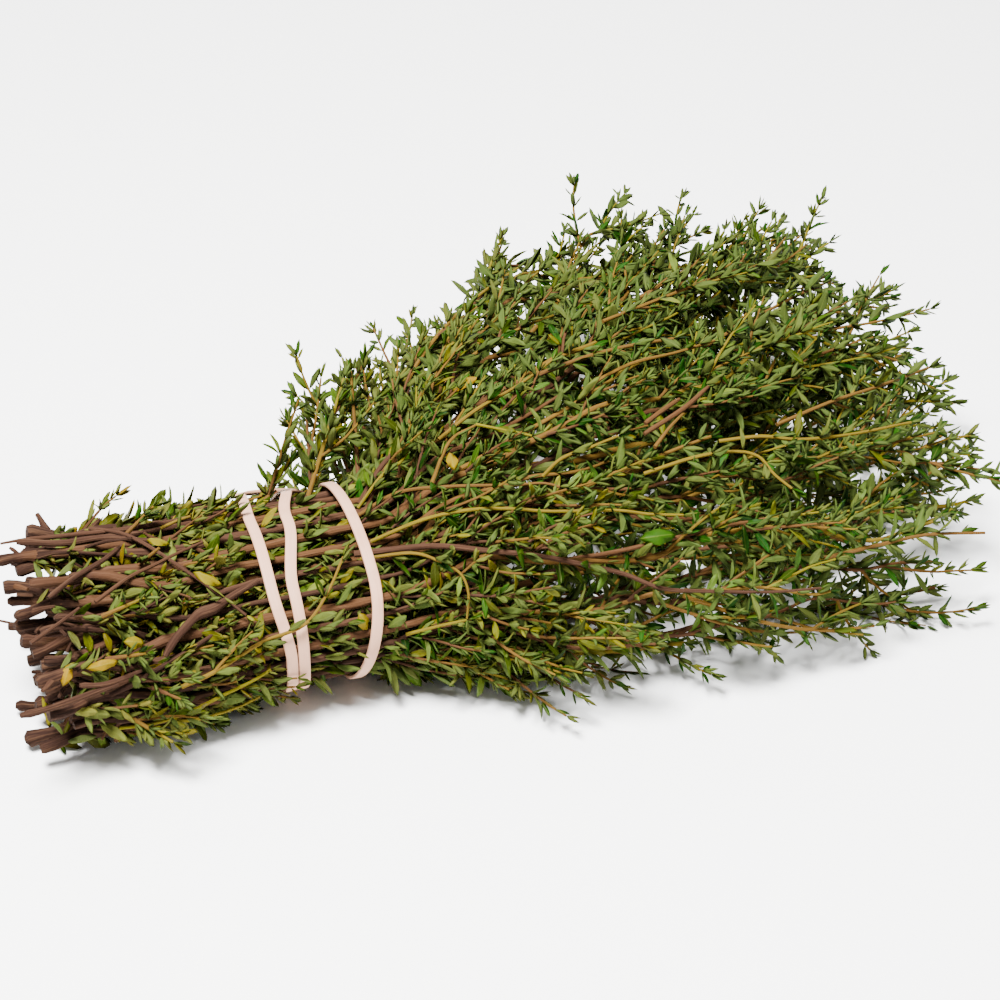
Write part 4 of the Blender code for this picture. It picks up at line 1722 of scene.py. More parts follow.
SHOWN_LEAVES = (
    ShownLeaf(OutsideSpot(57, 76, 6.4), -50, 0.35, 8.0, 4.4, 1.0),
    ShownLeaf(OutsideSpot(58, 76, 6.4), -110, 0.15, 6.2, 3.2, 1.0),
    ShownLeaf(OutsideSpot(37, 108, 5.6), -70, 0.2, 6.4, 3.0, 0.9),
    ShownLeaf(OutsideSpot(-31, 114, 3.4), 35, 0.25, 7.4, 4.0, 0.8),
    ShownLeaf(OutsideSpot(-39, 88, 3.6), 20, 0.3, 5.0, 4.0, 0.76),
    ShownLeaf(OutsideSpot(-51, 143, 3.0), 10, 0.3, 4.8, 3.2, 0.8),
    ShownLeaf(OutsideSpot(-61, 152, 3.0), 5, 0.3, 7.6, 2.6, 0.92),
    ShownLeaf(OutsideSpot(-67, 158, 2.6), -60, 0.2, 5.0, 2.8, 1.0),
    ShownLeaf(OutsideSpot(6, 156, 2.6), 60, 0.2, 4.8, 3.4, 0.85),
    ShownLeaf(OutsideSpot(75, 145, 5.6), 0, 0.25, 8.8, 4.2, 0.3, tone=0.62),
    ShownLeaf(OutsideSpot(-18.6, 82, 1.6), 8, 0.42, 8.2, 2.2, 0.4, LeafKind.CUPPED),
    ShownLeaf(OutsideSpot(-18, 73, 1.6), -12, 0.42, 8.0, 2.4, 0.5, LeafKind.CUPPED),
    ShownLeaf(OutsideSpot(-10.6, 70, 1.6), 0, 0.16, 6.4, 2.4, 0.6, LeafKind.BLADE),
)


Input = Union["Value", NodeSocket, float, tuple]


@dataclass(frozen=True)
class Value:
    """A node's output that can stand in Python sums. Each sum adds its Math node."""

    graph: "Graph"
    socket: NodeSocket

    def math(self, operation: str, *others: Input) -> "Value":
        """A Math node that starts with this value."""
        made = self.graph.node(
            "ShaderNodeMath", {"operation": operation}, dict(enumerate((self, *others)))
        )
        return self.graph.out(made)

    def __add__(self, other: Input) -> "Value":
        """This plus other."""
        return self.math("ADD", other)

    __radd__ = __add__

    def __mul__(self, other: Input) -> "Value":
        """This times other."""
        return self.math("MULTIPLY", other)

    __rmul__ = __mul__

    def __sub__(self, other: Input) -> "Value":
        """This less other."""
        return self.math("SUBTRACT", other)

    def __rsub__(self, other: Input) -> "Value":
        """Other less this."""
        made = self.graph.node("ShaderNodeMath", {"operation": "SUBTRACT"}, {0: other, 1: self})
        return self.graph.out(made)

    def __gt__(self, other: Input) -> "Value":
        """1 where this is more than other, else 0."""
        return self.math("GREATER_THAN", other)

    def __abs__(self) -> "Value":
        """This without its sign."""
        return self.math("ABSOLUTE")

    def clamped(self) -> "Value":
        """This held to 0..1."""
        made = self.graph.node("ShaderNodeClamp", {}, {0: self})
        return self.graph.out(made)


@dataclass(frozen=True)
class Graph:
    """Makes and links the nodes of one tree."""

    tree: NodeTree

    def node(self, kind: str, settings: dict | None = None, inputs: dict | None = None) -> Node:
        """Makes one node.

        Args:
            kind: The node's type.
            settings: Its settings, set first. stops are a ramp's (place, colour) pairs.
            inputs: Values or links, by socket name or number. A node stands for its first output.

        Returns:
            The node.
        """
        made = self.tree.nodes.new(kind)
        for name, setting in (settings or {}).items():
            if name == "stops":
                self.set_stops(made.color_ramp, setting)
            else:
                setattr(made, name, setting)
        for name, value in (inputs or {}).items():
            socket = made.inputs[name]
            if isinstance(value, Value):
                value = value.socket
            elif isinstance(value, Node):
                value = value.outputs[0]
            if isinstance(value, NodeSocket):
                self.tree.links.new(value, socket)
            else:
                socket.default_value = value
        return made

    @staticmethod
    def set_stops(ramp: ColorRamp, stops: Iterable) -> None:
        """Sets a ramp's stops.

        Args:
            ramp: The ramp.
            stops: (place, colour) pairs.
        """
        stops = list(stops)
        while len(ramp.elements) < len(stops):
            ramp.elements.new(0.5)
        for element, (place, colour) in zip(ramp.elements, stops):
            element.position = place
            element.color = (*colour, 1.0)

    def out(self, node: Node, name: str | int = 0) -> Value:
        """One output of a node."""
        return Value(self, node.outputs[name])

    def mix(self, share: Input, first: Input, second: Input, blend: str = "MIX") -> Value:
        """Mixes two colours.

        Args:
            share: How much of the second.
            first: The first colour.
            second: The second colour.
            blend: How they mix.

        Returns:
            The colour.
        """
        first, second = (
            (*colour, 1.0) if isinstance(colour, tuple) else colour
            for colour in (first, second)
        )
        settings = {"data_type": "RGBA", "blend_type": blend}
        made = self.node("ShaderNodeMix", settings, {0: share, 6: first, 7: second})
        return self.out(made, 2)

    def ramp(self, value: Input, stops: Iterable) -> Value:
        """A colour read from stops."""
        return self.out(self.node("ShaderNodeValToRGB", {"stops": stops}, {0: value}))

    def noise(
        self, scale: float, detail: float = 3.0, vector: Input | None = None,
        roughness: float = 0.55
    ) -> Value:
        """Makes noise.

        Args:
            scale: Its scale.
            detail: Its detail.
            vector: Where it is read, or None for the object's own coordinates.
            roughness: Its roughness.

        Returns:
            The noise.
        """
        if vector is None:
            vector = self.out(self.node("ShaderNodeTexCoord"), "Object")
        inputs = {"Vector": vector, "Scale": scale, "Detail": detail, "Roughness": roughness}
        return self.out(self.node("ShaderNodeTexNoise", {}, inputs))

    def attribute(self, name: str, output: str = "Fac") -> Value:
        """A named attribute of the mesh."""
        return self.out(self.node("ShaderNodeAttribute", {"attribute_name": name}), output)

    def parts(self, vector: Value) -> tuple[Value, Value, Value]:
        """X, Y and Z of a vector."""
        made = self.node("ShaderNodeSeparateXYZ", {}, {0: vector})
        return self.out(made, 0), self.out(made, 1), self.out(made, 2)

    def bump(self, height: Input, strength: float, distance: float) -> Value:
        """A normal from a height."""
        inputs = {"Height": height, "Strength": strength, "Distance": distance}
        return self.out(self.node("ShaderNodeBump", {}, inputs))


def new_graph(name: str) -> tuple[Material, Graph, Node]:
    """Makes a material with a Principled shader.

    Args:
        name: The material's name.

    Returns:
        The material, its graph and its shader node.
    """
    material = bpy.data.materials.new(name)
    material.use_nodes = True
    tree = material.node_tree
    return material, Graph(tree), tree.nodes["Principled BSDF"]


def feed(graph: Graph, shader: Node, **inputs: Input) -> None:
    """Sets or links a shader's sockets.

    Args:
        graph: The material's graph.
        shader: Its shader.
        inputs: Values or links by socket name, with underscores for spaces.
    """
    for name, value in inputs.items():
        socket = shader.inputs[name.replace("_", " ")]
        if isinstance(value, Value):
            graph.tree.links.new(value.socket, socket)
        else:
            socket.default_value = value


@dataclass(frozen=True)
class LeafFinish:
    """Thyme leaf: fresh to yellow green, paler and duller below, with a light midrib."""

    ages: tuple = (
        (0.0, (0.003, 0.031, 0.0004)),
        (0.25, (0.010, 0.044, 0.0006)),
        (0.5, (0.036, 0.048, 0.001)),
        (0.78, (0.098, 0.076, 0.002)),
        (1.0, (0.135, 0.076, 0.0)),
    )
    light: Triple = (0.095, 0.120, 0.020)
    underside: Triple = (0.050, 0.062, 0.014)
    rib: Triple = (0.120, 0.140, 0.026)
    dark: Triple = (0.002, 0.009, 0.0002)
    speckled: Triple = (0.30, 0.42, 0.06)
    patch_scale: float = 420.0
    speckle_scale: float = 2600.0
    rib_height: float = 0.6
    bump: float = 0.35
    bump_depth: float = 0.0003
    specular: float = 0.05

    def make(self) -> Material:
        """Makes the material.

        Returns:
            The material.
        """
        material, graph, shader = new_graph("thyme_leaf")
        along, across, side = graph.parts(graph.attribute("leaf_local", "Vector"))
        tone, age = graph.attribute("tone"), graph.attribute("age")
        patches = graph.noise(self.patch_scale, 2.0)
        fresh = graph.ramp(age + (patches - 0.5) * 0.12, self.ages)
        shaded = graph.mix((0.85 - tone * 1.1).clamped() * 0.95, fresh, self.dark)
        shaded = graph.mix(((tone - 0.8) * 5.0).clamped() * 0.5, shaded, self.light)
        below = (0.0 - side) > 0.02
        dull = graph.mix(below * 0.62, shaded, self.underside)
        midrib = (1.0 - abs(across) * 7.0).clamped()
        ribbed = graph.mix(midrib * (1.0 - along * 0.7) * 0.4, dull, self.rib)
        speckle = graph.noise(self.speckle_scale, 2.0)
        spotted = (speckle - 0.35).clamped() * 0.5
        colour = graph.mix(spotted, ribbed, self.speckled, "SOFT_LIGHT")
        rough = 0.40 + speckle * 0.22 + below * 0.15
        feed(
            graph, shader, Base_Color=colour, Roughness=rough,
            Normal=graph.bump(speckle + midrib * self.rib_height, self.bump, self.bump_depth),
        )
        shader.inputs["Specular IOR Level"].default_value = self.specular
        return material


@dataclass(frozen=True)
class BarkFinish:
    """Stem: purple-brown fibrous bark at the cut end, red-brown, then tan and yellow green."""

    ages: tuple = (
        (0.0, (0.105, 0.092, 0.004)),
        (0.25, (0.104, 0.058, 0.008)),
        (0.5, (0.062, 0.027, 0.010)),
        (0.78, (0.036, 0.0165, 0.010)),
        (1.0, (0.017, 0.0080, 0.0055)),
    )
    fibre: Triple = (0.135, 0.070, 0.036)
    # Painted shade colour, near black, for the cracks between the bark's fibres.
    crack_shade: Triple = (0.004, 0.002, 0.001)
    along_scale: float = 90.0
    round_scale: float = 2.6
    tone_shift: float = 40.0
    pore_scale: float = 1500.0
    bump: float = 0.7
    bump_depth: float = 0.0005
    specular: float = 0.03

    def make(self) -> Material:
        """Makes the material.

        Returns:
            The material.
        """
        material, graph, shader = new_graph("thyme_bark")
        length, x, y = graph.parts(graph.attribute("stem_local", "Vector"))
        wood, tone = graph.attribute("wood"), graph.attribute("tone")
        along = length * self.along_scale + tone * self.tone_shift
        stretched = graph.node(
            "ShaderNodeCombineXYZ", {}, {0: along, 1: x * self.round_scale, 2: y * self.round_scale}
        )
        fibres = graph.noise(1.0, 4.0, graph.out(stretched), 0.65)
        base = graph.ramp(wood * 0.9 + (tone - 0.5) * 0.5 + (fibres - 0.5) * 0.3, self.ages)
        streaked = graph.mix((fibres * 2.6 - 1.25).clamped() * 0.6, base, self.fibre)
        # Painted shade: near-black in the cracks between the fibres, where the fibre height is low, more where
        # the stem is woody.
        crack_shaded = graph.mix((0.46 - fibres).clamped() * 3.0 * wood, streaked, self.crack_shade)
        feed(
            graph, shader, Base_Color=crack_shaded, Roughness=0.66 + fibres * 0.3,
            Normal=graph.bump(
                fibres + graph.noise(self.pore_scale, 2.0) * 0.3, self.bump, self.bump_depth
            ),
        )
        shader.inputs["Specular IOR Level"].default_value = self.specular
        return material


@dataclass(frozen=True)
class RubberFinish:
    """Pale pink-beige rubber with faint lengthwise marks, darker worn patches, painted shade on its rounded
    edges and a dusty sheen.
    """

    colour: Triple = (0.40, 0.215, 0.135)
    pale: Triple = (0.54, 0.33, 0.225)
    # Colour of the darker worn patches, also used as painted shade on the strip's edges.
    wear_and_edge_shade: Triple = (0.24, 0.115, 0.065)
    along_scale: float = 60.0
    across_scale: float = 9.0
    cloud_scale: float = 160.0
    bump: float = 0.3
    bump_depth: float = 0.0003
    specular: float = 0.15

    def make(self) -> Material:
        """Makes the material.

        Returns:
            The material.
        """
        material, graph, shader = new_graph("rubber_pale_pink")
        length, across, _ = graph.parts(graph.attribute("band_local", "Vector"))
        inputs = {0: length * self.along_scale, 1: across * self.across_scale}
        stretched = graph.node("ShaderNodeCombineXYZ", {}, inputs)
        lines = graph.noise(1.0, 3.0, graph.out(stretched))
        clouds = graph.noise(self.cloud_scale, 3.0)
        colour = graph.mix((lines * 1.6 - 0.45).clamped() * 0.7, self.colour, self.pale)
        # Darker worn patches from the clouds, and painted shade on the strip's rounded edges and sides.
        edge = ((abs(across) - 0.8) * 4.0).clamped() * 0.35
        wear_and_edge_shade = graph.mix((clouds - 0.52).clamped() * 1.4 + edge, colour, self.wear_and_edge_shade)
        feed(
            graph, shader, Base_Color=wear_and_edge_shade, Roughness=0.42 + lines * 0.2,
            Normal=graph.bump(lines + clouds * 0.4, self.bump, self.bump_depth),
        )
        shader.inputs["Specular IOR Level"].default_value = self.specular
        return material


@dataclass(frozen=True)
class FloorFinish:
    """Plain pale floor."""

    colour: Triple = (0.90, 0.90, 0.89)

    def make(self) -> Material:
        """Makes the material.

        Returns:
            The material.
        """
        material, graph, shader = new_graph("pale_floor")
        feed(graph, shader, Base_Color=(*self.colour, 1.0), Roughness=0.8)
        shader.inputs["Specular IOR Level"].default_value = 0.2
        return material


@dataclass(frozen=True)
class GrowthTree:
    """Geometry Nodes that turn lines and points into tubes and leaves."""

    sides: int = 7
    bark_rough: float = 0.12
    seed: int = 3

    def make(self) -> NodeTree:
        """Builds the tree.

        Returns:
            The node group, with its named inputs.
        """
        tree = bpy.data.node_groups.new("grow_thyme", "GeometryNodeTree")
        face = tree.interface
        face.new_socket("Geometry", in_out="INPUT", socket_type="NodeSocketGeometry")
        face.new_socket("Geometry", in_out="OUTPUT", socket_type="NodeSocketGeometry")
        for name, kind, value in (
            ("Stem Sides", "NodeSocketInt", self.sides),
            ("Bark Roughness", "NodeSocketFloat", self.bark_rough),
            ("Leaf Length", "NodeSocketFloat", 1.0),
            ("Leaf Wobble", "NodeSocketFloat", 0.12),
            ("Seed", "NodeSocketInt", self.seed),
        ):
            face.new_socket(name, in_out="INPUT", socket_type=kind).default_value = value
        for name, kind in (
            ("Leaf Shapes", "NodeSocketCollection"),
            ("Leaf Material", "NodeSocketMaterial"),
            ("Bark Material", "NodeSocketMaterial"),
        ):
            face.new_socket(name, in_out="INPUT", socket_type=kind)
        graph = Graph(tree)
        given = tree.nodes.new("NodeGroupInput").outputs
        tubes = self.add_tubes(graph, given)
        leaves = self.add_leaves(graph, given)
        joined = graph.node("GeometryNodeJoinGeometry")
        for part in (leaves, tubes):
            tree.links.new(part, joined.inputs[0])
        real = graph.node("GeometryNodeRealizeInstances", {}, {0: joined})
        is_leaf = self.read(graph, "is_leaf", "BOOLEAN")
        is_stem = graph.node("FunctionNodeBooleanMath", {"operation": "NOT"}, {0: is_leaf})
        smooth = graph.node("GeometryNodeSetShadeSmooth", {}, {0: real})
        green = graph.node(
            "GeometryNodeSetMaterial", {}, {0: smooth, 1: is_leaf, 2: given["Leaf Material"]}
        )
        brown = graph.node(
            "GeometryNodeSetMaterial", {},
            {0: green, 1: is_stem, 2: given["Bark Material"]},
        )
        result = tree.nodes.new("NodeGroupOutput")
        tree.links.new(brown.outputs[0], result.inputs[0])
        return tree

    @staticmethod
    def read(graph: Graph, name: str, kind: str = "FLOAT") -> NodeSocket:
        """Output of a Named Attribute node."""
        return graph.node(
            "GeometryNodeInputNamedAttribute", {"data_type": kind}, {"Name": name}
        ).outputs[0]

    def add_tubes(self, graph: Graph, given: bpy_prop_collection) -> NodeSocket:
        """Makes tubes along the edges, rough in bark, with the place along and round each stored.

        Args:
            graph: Makes the nodes.
            given: The tree's inputs.

        Returns:
            The tubes.
        """
        lines = graph.node("GeometryNodeMeshToCurve", {}, {0: given["Geometry"]})
        length = graph.node("GeometryNodeSplineParameter").outputs["Length"]
        marked = graph.node(
            "GeometryNodeStoreNamedAttribute", {"data_type": "FLOAT", "domain": "POINT"},
            {"Geometry": lines, "Name": "stem_length", "Value": length},
        )
        circle = graph.node(
            "GeometryNodeCurvePrimitiveCircle", {"mode": "RADIUS"}, {0: given["Stem Sides"]}
        )
        place = graph.node("GeometryNodeInputPosition").outputs[0]
        profile = graph.node(
            "GeometryNodeStoreNamedAttribute", {"data_type": "FLOAT_VECTOR", "domain": "POINT"},
            {"Geometry": circle, "Name": "stem_round", "Value": place},
        )
        tubes = graph.node(
            "GeometryNodeCurveToMesh", {},
            {
                "Curve": marked, "Profile Curve": profile,
                "Scale": self.read(graph, "radius"), "Fill Caps": True,
            },
        )
        rough = graph.node("ShaderNodeTexNoise", {}, {"Scale": 700.0, "Detail": 2.0})
        height = Value(graph, rough.outputs[0]) - 0.5
        amount = height * self.read(graph, "radius") * self.read(graph, "wood") * 2.0
        amount = amount * Value(graph, given["Bark Roughness"])
        normal = graph.node("GeometryNodeInputNormal").outputs[0]
        offset = graph.node(
            "ShaderNodeVectorMath", {"operation": "SCALE"}, {0: normal, "Scale": amount}
        )
        moved = graph.node(
            "GeometryNodeSetPosition", {}, {"Geometry": tubes, "Offset": offset}
        )
        split = graph.node(
            "ShaderNodeSeparateXYZ", {}, {0: self.read(graph, "stem_round", "FLOAT_VECTOR")}
        )
        local = graph.node(
            "ShaderNodeCombineXYZ", {},
            {0: self.read(graph, "stem_length"), 1: split.outputs[0], 2: split.outputs[1]},
        )
        stored = graph.node(
            "GeometryNodeStoreNamedAttribute", {"data_type": "FLOAT_VECTOR", "domain": "POINT"},
            {"Geometry": moved, "Name": "stem_local", "Value": local},
        )
        return stored.outputs[0]

    def add_leaves(self, graph: Graph, given: bpy_prop_collection) -> NodeSocket:
        """Puts leaves on the points, turned as the points say, with a small wobble of their own.

        Args:
            graph: Makes the nodes.
            given: The tree's inputs.

        Returns:
            The leaves.
        """
        shapes = graph.node(
            "GeometryNodeCollectionInfo", {},
            {0: given["Leaf Shapes"], "Separate Children": True, "Reset Children": True},
        )
        turned = graph.node(
            "FunctionNodeAxesToRotation", {"primary_axis": "X", "secondary_axis": "Z"},
            {
                0: self.read(graph, "pointing", "FLOAT_VECTOR"),
                1: self.read(graph, "facing", "FLOAT_VECTOR")
            },
        )
        wobble = Value(graph, given["Leaf Wobble"])
        least = graph.node("ShaderNodeCombineXYZ", {}, {i: wobble * -1.0 for i in range(3)})
        most = graph.node("ShaderNodeCombineXYZ", {}, {i: wobble for i in range(3)})
        shaken = graph.node(
            "FunctionNodeRandomValue", {"data_type": "FLOAT_VECTOR"},
            {0: least, 1: most, "Seed": given["Seed"]},
        )
        euler = graph.node("FunctionNodeEulerToRotation", {}, {0: shaken})
        rotation = graph.node(
            "FunctionNodeRotateRotation", {"rotation_space": "LOCAL"}, {0: turned, 1: euler}
        )
        size = graph.node(
            "ShaderNodeVectorMath", {"operation": "SCALE"},
            {0: self.read(graph, "size", "FLOAT_VECTOR"), "Scale": given["Leaf Length"]},
        )
        leaves = graph.node(
            "GeometryNodeInstanceOnPoints", {},
            {
                "Points": given["Geometry"], "Selection": self.read(graph, "is_leaf", "BOOLEAN"),
                "Instance": shapes, "Pick Instance": True,
                "Instance Index": self.read(graph, "kind", "INT"),
                "Rotation": rotation, "Scale": size,
            },
        )
        return leaves.outputs[0]


@dataclass
class PieceMaker:
    """Makes a plain mesh of each piece's stems and leaves."""

    tree: NodeTree
    shapes: Collection
    shift: Vector
    press: float = 0.9 * MM
    rings_a_cell: int = 3
    margin: float = 0.05

    def lines_and_points(self, name: str, foliage: Foliage) -> Object:
        """Makes the mesh that the nodes read: edges for stems, loose points for leaves.

        Args:
            name: The piece's name.
            foliage: Its stems and leaves.

        Returns:
            The object that holds it.
        """
        stalks, leaves = foliage.stalks, foliage.leaves
        points = [point for stalk in stalks for point in stalk.points]
        edges, count = [], 0
        for stalk in stalks:
            edges += [(count + i, count + i + 1) for i in range(len(stalk.points) - 1)]
            count += len(stalk.points)
        mesh = bpy.data.meshes.new(name + "_lines")
        mesh.from_pydata(
            [p + self.shift for p in points + [leaf.root for leaf in leaves]], edges, []
        )
        none, blank = [0.0] * count, [(0.0, 0.0, 1.0)] * count
        self.store(mesh, "is_leaf", "BOOLEAN", [False] * count + [True] * len(leaves))
        self.store(
            mesh, "radius", "FLOAT", [r for s in stalks for r in s.radii] + [0.0] * len(leaves)
        )
        self.store(mesh, "wood", "FLOAT", [w for s in stalks for w in s.wood] + [0.0] * len(leaves))
        tones = [stalk.tone for stalk in stalks for _ in stalk.points]
        self.store(mesh, "tone", "FLOAT", tones + [leaf.tone for leaf in leaves])
        self.store(mesh, "age", "FLOAT", none + [leaf.age for leaf in leaves])
        self.store(mesh, "kind", "INT", [0] * count + [leaf.kind.value for leaf in leaves])
        self.store(
            mesh, "pointing", "FLOAT_VECTOR", blank + [tuple(leaf.pointing) for leaf in leaves]
        )
        self.store(mesh, "facing", "FLOAT_VECTOR", blank + [tuple(leaf.facing) for leaf in leaves])
        sizes = [(leaf.length, leaf.width, leaf.width) for leaf in leaves]
        self.store(mesh, "size", "FLOAT_VECTOR", blank + sizes)
        rings = [
            ring + i for stalk, ring in zip(stalks, self.first_rings(stalks))
            for i in range(len(stalk.points))
        ]
        self.store(mesh, "cell", "INT", rings + list(range(len(leaves))))
        lines = bpy.data.objects.new(name + "_lines", mesh)
        bpy.context.scene.collection.objects.link(lines)
        return lines

    def first_rings(self, stalks: list[Stalk]) -> list[int]:
        """Numbers the rings so that every stalk starts a cell of the map.

        Args:
            stalks: The stalks in order.

        Returns:
            Each stalk's first ring, then the number of rings.
        """
        rings = [0]
        for stalk in stalks:
            cells = math.ceil(len(stalk.points) / self.rings_a_cell)
            rings.append(rings[-1] + cells * self.rings_a_cell)
        return rings

    def lay_map(self, mesh: Mesh, foliage: Foliage) -> None:
        """Gives each leaf, each short length of stem and each end its own square of one map.

        Args:
            mesh: The piece's mesh, with the leaves' own maps still unplaced.
            foliage: What grows on the piece.
        """
        corners, faces = len(mesh.loops), len(mesh.polygons)
        vert, start = np.empty(corners, np.int32), np.empty(faces, np.int32)
        mesh.loops.foreach_get("vertex_index", vert)
        mesh.polygons.foreach_get("loop_start", start)
        size = np.diff(np.append(start, corners))
        cell, is_leaf = (np.empty(len(mesh.vertices), kind) for kind in (np.int32, bool))
        local = np.empty(len(mesh.vertices) * 3, np.float32)
        mesh.attributes["cell"].data.foreach_get("value", cell)
        mesh.attributes["is_leaf"].data.foreach_get("value", is_leaf)
        mesh.attributes["stem_local"].data.foreach_get("vector", local)
        cell, is_leaf, local = cell[vert], is_leaf[vert], local.reshape(-1, 3)[vert]
        layer = mesh.uv_layers["OFBake"].uv
        place = np.empty(corners * 2, np.float32)
        layer.foreach_get("vector", place)
        place = place.reshape(-1, 2)
        turn = np.arctan2(local[:, 2], local[:, 1]) / (2 * math.pi) % 1.0
        over_seam = np.repeat(
            np.maximum.reduceat(turn, start) - np.minimum.reduceat(turn, start) > 0.5, size
        )
        turn = np.where(over_seam & (turn < 0.5), turn + 1, turn)
        first, last = (
            np.repeat(pick.reduceat(cell, start), size) for pick in (np.minimum, np.maximum)
        )
        is_end = (first == last) & ~is_leaf
        on_stem = np.stack(
            ((first % self.rings_a_cell + cell - first) / self.rings_a_cell, turn), 1
        )
        on_end = 0.5 + 0.45 * np.stack((np.cos(turn * 2 * math.pi), np.sin(turn * 2 * math.pi)), 1)
        place = np.where(is_leaf[:, None], place, np.where(is_end[:, None], on_end, on_stem))
        leaves = len(foliage.leaves)
        stem_cells = self.first_rings(foliage.stalks)[-1] // self.rings_a_cell
        ends, end_number = np.unique(first[is_end], return_inverse=True)
        square = np.where(is_leaf, cell, leaves + first // self.rings_a_cell)
        square[is_end] = leaves + stem_cells + end_number
        grid = math.ceil(math.sqrt(leaves + stem_cells + len(ends)))
        corner = np.stack((square % grid, square // grid), 1)
        placed = (corner + self.margin + (1 - 2 * self.margin) * place) / grid
        layer.foreach_set("vector", placed.astype(np.float32).ravel())

    @staticmethod
    def store(mesh: Mesh, name: str, kind: str, values: list) -> None:
        """Stores one value or vector for each point.

        Args:
            mesh: The mesh.
            name: The attribute's name.
            kind: Its type.
            values: A value for each point.
        """
        layer = mesh.attributes.new(name, kind, "POINT")
        flat = np.array(values, float if "FLOAT" in kind else int).ravel()
        layer.data.foreach_set("vector" if kind == "FLOAT_VECTOR" else "value", flat)

    def make(self, name: str, foliage: Foliage, leaf: Material, bark: Material) -> Object:
        """Makes one piece as a plain mesh.

        Args:
            name: The piece's name.
            foliage: Its stems and leaves.
            leaf: Finish of the leaves.
            bark: Finish of the stems.

        Returns:
            The finished object.
        """
        lines = self.lines_and_points(name, foliage)
        grow = lines.modifiers.new("grow", "NODES")
        grow.node_group = self.tree
        values = {"Leaf Shapes": self.shapes, "Leaf Material": leaf, "Bark Material": bark}
        for item in self.tree.interface.items_tree:
            if item.in_out == "INPUT" and item.name in values:
                grow[item.identifier] = values[item.name]
        graph = bpy.context.evaluated_depsgraph_get()
        mesh = bpy.data.meshes.new_from_object(
            lines.evaluated_get(graph), preserve_all_data_layers=True, depsgraph=graph
        )
        lines.modifiers.clear()
        bpy.data.objects.remove(lines)
        mesh.name = name
        self.press_down(mesh)
        self.lay_map(mesh, foliage)
        piece = bpy.data.objects.new(name, mesh)
        bpy.context.scene.collection.objects.link(piece)
        return piece

    def press_down(self, mesh: Mesh) -> None:
        """Flattens what would pass through the table, in the order that it lies.

        Args:
            mesh: The piece's mesh.
        """
        places = np.empty(len(mesh.vertices) * 3, np.float32)
        mesh.vertices.foreach_get("co", places)
        places = places.reshape(-1, 3)
        z = places[:, 2]
        places[:, 2] = 0.5 * (z + np.sqrt(z * z + self.press**2))
        mesh.vertices.foreach_set("co", places.ravel())
        mesh.update()


@dataclass
class RubberBand:
    """The band as one smooth closed strip with rounded edges."""

    winding: BandWinding
    steps: int = 330
    rings_a_cell: int = 6
    edge: float = 0.3 * MM
    lowest: float = 0.02 * MM
    margin: float = 0.04

    def section(self) -> list[Pair]:
        """Outlines the strip's section, with rounded corners.

        Returns:
            (across, out) of each corner.
        """
        half, thick = self.winding.width / 2, self.winding.thickness / 2
        outline = []
        for corner, start in (((1, 1), 0), ((-1, 1), 90), ((-1, -1), 180), ((1, -1), 270)):
            for part in (0, 45, 90):
                turn = math.radians(start + part)
                outline.append((
                    corner[0] * (half - self.edge) + self.edge * math.cos(turn),
                    corner[1] * (thick - self.edge) + self.edge * math.sin(turn),
                ))
        return outline

    def build(self, shift: Vector, finish: Material) -> Object:
        """Makes the band.

        Args:
            shift: From the tied section's middle to the frame.
            finish: Its material.

        Returns:
            The band's object.
        """
        outline = self.section()
        shell = bmesh.new()
        local = shell.verts.layers.float_vector.new("band_local")
        layer = shell.loops.layers.uv.new("OFBake")
        rings, length, before = [], 0.0, None
        for point, across, outward in self.winding.stations(self.steps):
            length += (point - before).length if before else 0.0
            before = point
            ring = []
            for side, out in outline:
                place = point + across * side + outward * out + shift
                place.z = max(place.z, self.lowest)
                vert = shell.verts.new(place)
                vert[local] = Vector((length, side / (self.winding.width / 2), out))
                ring.append(vert)
            rings.append(ring)
        grid = math.ceil(math.sqrt(len(rings) / self.rings_a_cell))
        inside = 1 - 2 * self.margin
        for i, ring in enumerate(rings):
            after = rings[(i + 1) % len(rings)]
            row, column = divmod(i // self.rings_a_cell, grid)
            for j in range(len(outline)):
                face = shell.faces.new((ring[j - 1], ring[j], after[j], after[j - 1]))
                for loop, (ahead, round_it) in zip(face.loops, ((0, 0), (0, 1), (1, 1), (1, 0))):
                    along = (i % self.rings_a_cell + ahead) / self.rings_a_cell
                    round_share = (j + round_it) / len(outline)
                    spot = (
                        column + self.margin + inside * along,
                        row + self.margin + inside * round_share
                    )
                    loop[layer].uv = (spot[0] / grid, spot[1] / grid)
        bmesh.ops.recalc_face_normals(shell, faces=shell.faces)
        mesh = bpy.data.meshes.new("rubber_band_fine")
        shell.to_mesh(mesh)
        shell.free()
        mesh.polygons.foreach_set("use_smooth", [True] * len(mesh.polygons))
        mesh.materials.append(finish)
        band = bpy.data.objects.new("rubber_band_fine", mesh)
        bpy.context.scene.collection.objects.link(band)
        return band


